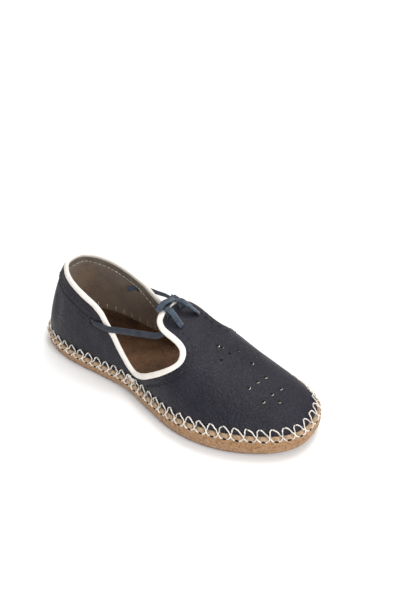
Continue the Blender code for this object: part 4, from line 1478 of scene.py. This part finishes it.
def strap(name, points, widths, steps, suede_outside=True, pinched_at=None):
    """Make a flat strap along a smooth line, suede on one face and grain on the other."""
    points, widths = np.array(points, dtype=float), np.array(widths, dtype=float)
    walked = walk(points)
    stops = np.linspace(0.0, walked[-1], steps)
    middle = read_line(smooth, stops, walked, points)
    ahead = read_line(smooth, np.minimum(stops + LACE_AHEAD, walked[-1]), walked, points)
    forward = unit(ahead - read_line(smooth, np.maximum(stops - LACE_AHEAD, 0.0), walked, points))
    across = square_to(read_line(smooth, stops, walked, widths), forward)
    upward = np.cross(forward, across)
    if pinched_at is not None:
        across = across * (1 - bell(stops, walked[pinched_at], PINCH_REACH, PINCH))[:, None]
    corners = section(*LACE_SECTION)
    corners[:, 1] += CUP_RISE - CUP_DROP * (corners[:, 0] / (LACE_WIDTH / 2)) ** 2
    count = len(corners)
    points = worn(sweep(middle, across, upward, corners), middle, LACE_UNEVEN)
    top = np.sin(FULL_TURN * (np.arange(count) + 1.0) / count) > 0
    indices = [*np.tile(np.where(top == suede_outside, 0, 1), steps - 1), 0, 0]
    faces = ring_faces(steps, count) + end_faces(steps, count)
    return make_piece(name, points, faces, [LACE_SUEDE, LACE_GRAIN], indices), middle


def build_bars():
    """Make the lace's bar across each side, from inside the quarter through its slot to the tab."""
    for side, word in ((RIGHT, "right"), (LEFT, "left")):
        rows = BAR_INSIDE + BAR_ROUTE
        points = [(x, -side * y, z) for (x, y, z), _ in rows]
        widths = [(x, -side * y, z) for _, (x, y, z) in rows]
        piece, _ = strap(f"lace_strip_{word}", points, widths, BAR_STEPS, side == LEFT, len(BAR_INSIDE))
        dress(piece, "lace", f"lace_bar_{word}")


def build_ends():
    """Make the lace's free ends, up through the tab's slots and curled over on the leather."""
    for name, route in END_ROUTES.items():
        points = [over(x, y, height) for (x, y, height), _ in route]
        piece, middle = strap(f"{name}_strip", points, [width for _, width in route], END_STEPS)
        dress(piece, "lace", name)


def build_tie():
    """Make the two strips that cross over the tab's end."""
    for index, route in enumerate(TIE_ROUTES):
        points = [over(x, y, height) for x, y, height in route]
        widths = [(1.0, 0.0, -0.1)] * len(points)
        piece, _ = strap(f"lace_tie_{index}", points, widths, TIE_STEPS, index == 0)
        dress(piece, "lace", "lace_knot")


# Stage


def build_floor():
    """Make the plain pale floor."""
    bpy.ops.mesh.primitive_plane_add(size=FLOOR_SIZE, location=(0.0, 0.0, -FLOOR_DROP))
    floor = bpy.context.object
    floor.name = "floor"
    finish = Finish("floor_paper", 0.9, Specular_IOR_Level=0.1)
    finish.colour(finish.blend(finish.clouds(400.0, 2.0), (0.96, 0.96, 0.96), (0.97, 0.97, 0.97)))
    floor.data.materials.append(finish.material)


def build_lights():
    """Set the soft studio light: a bright sky and round area lights that look at the shoe."""
    world = bpy.data.worlds.new("studio")
    bpy.context.scene.world = world
    world.use_nodes = True
    sky = world.node_tree.nodes["Background"]
    sky.inputs["Color"].default_value = (1.0, 1.0, 1.0, 1.0)
    sky.inputs["Strength"].default_value = SKY_STRENGTH
    for name, place, size, power, colour in LIGHTS:
        light = bpy.data.lights.new(name, "AREA")
        light.shape = "DISK"
        light.size = size
        light.energy = power
        light.color = colour
        item = bpy.data.objects.new(name, light)
        bpy.context.scene.collection.objects.link(item)
        item.location = place
        item.rotation_mode = "QUATERNION"
        item.rotation_quaternion = (Vector(LIGHTS_AIM) - Vector(place)).to_track_quat("-Z", "Y")
    bpy.context.scene.view_settings.view_transform = "Standard"


def build_camera():
    """Place the camera at the photograph's view."""
    camera = bpy.data.cameras.new("camera")
    camera.lens = CAMERA_LENS
    camera.sensor_width = SENSOR_WIDTH
    camera.clip_start, camera.clip_end = CLIP_START, CLIP_END
    item = bpy.data.objects.new("camera", camera)
    bpy.context.scene.collection.objects.link(item)
    aim = Vector(CAMERA_AIM).normalized()
    right = aim.cross(Vector((0.0, 0.0, 1.0))).normalized()
    upward = right.cross(aim)
    turned = math.cos(CAMERA_ROLL) * right + math.sin(CAMERA_ROLL) * upward
    top = -math.sin(CAMERA_ROLL) * right + math.cos(CAMERA_ROLL) * upward
    place = Matrix((turned, top, -aim)).transposed().to_4x4()
    item.matrix_world = Matrix.Translation(Vector(to_frame(CAMERA_AT))) @ place
    bpy.context.scene.camera = item


build_camera()
build_bars()
build_ends()
build_tie()
GRID = UpperGrid()
build_upper(GRID)
build_sole()
build_insole()
build_binding()
build_facing()
build_collar_seams()
build_facing_seam()
build_dot_glints()
build_rim_thread(GRID)
build_inner_thread(GRID)
build_thread_knots(GRID)
build_floor()
build_lights()
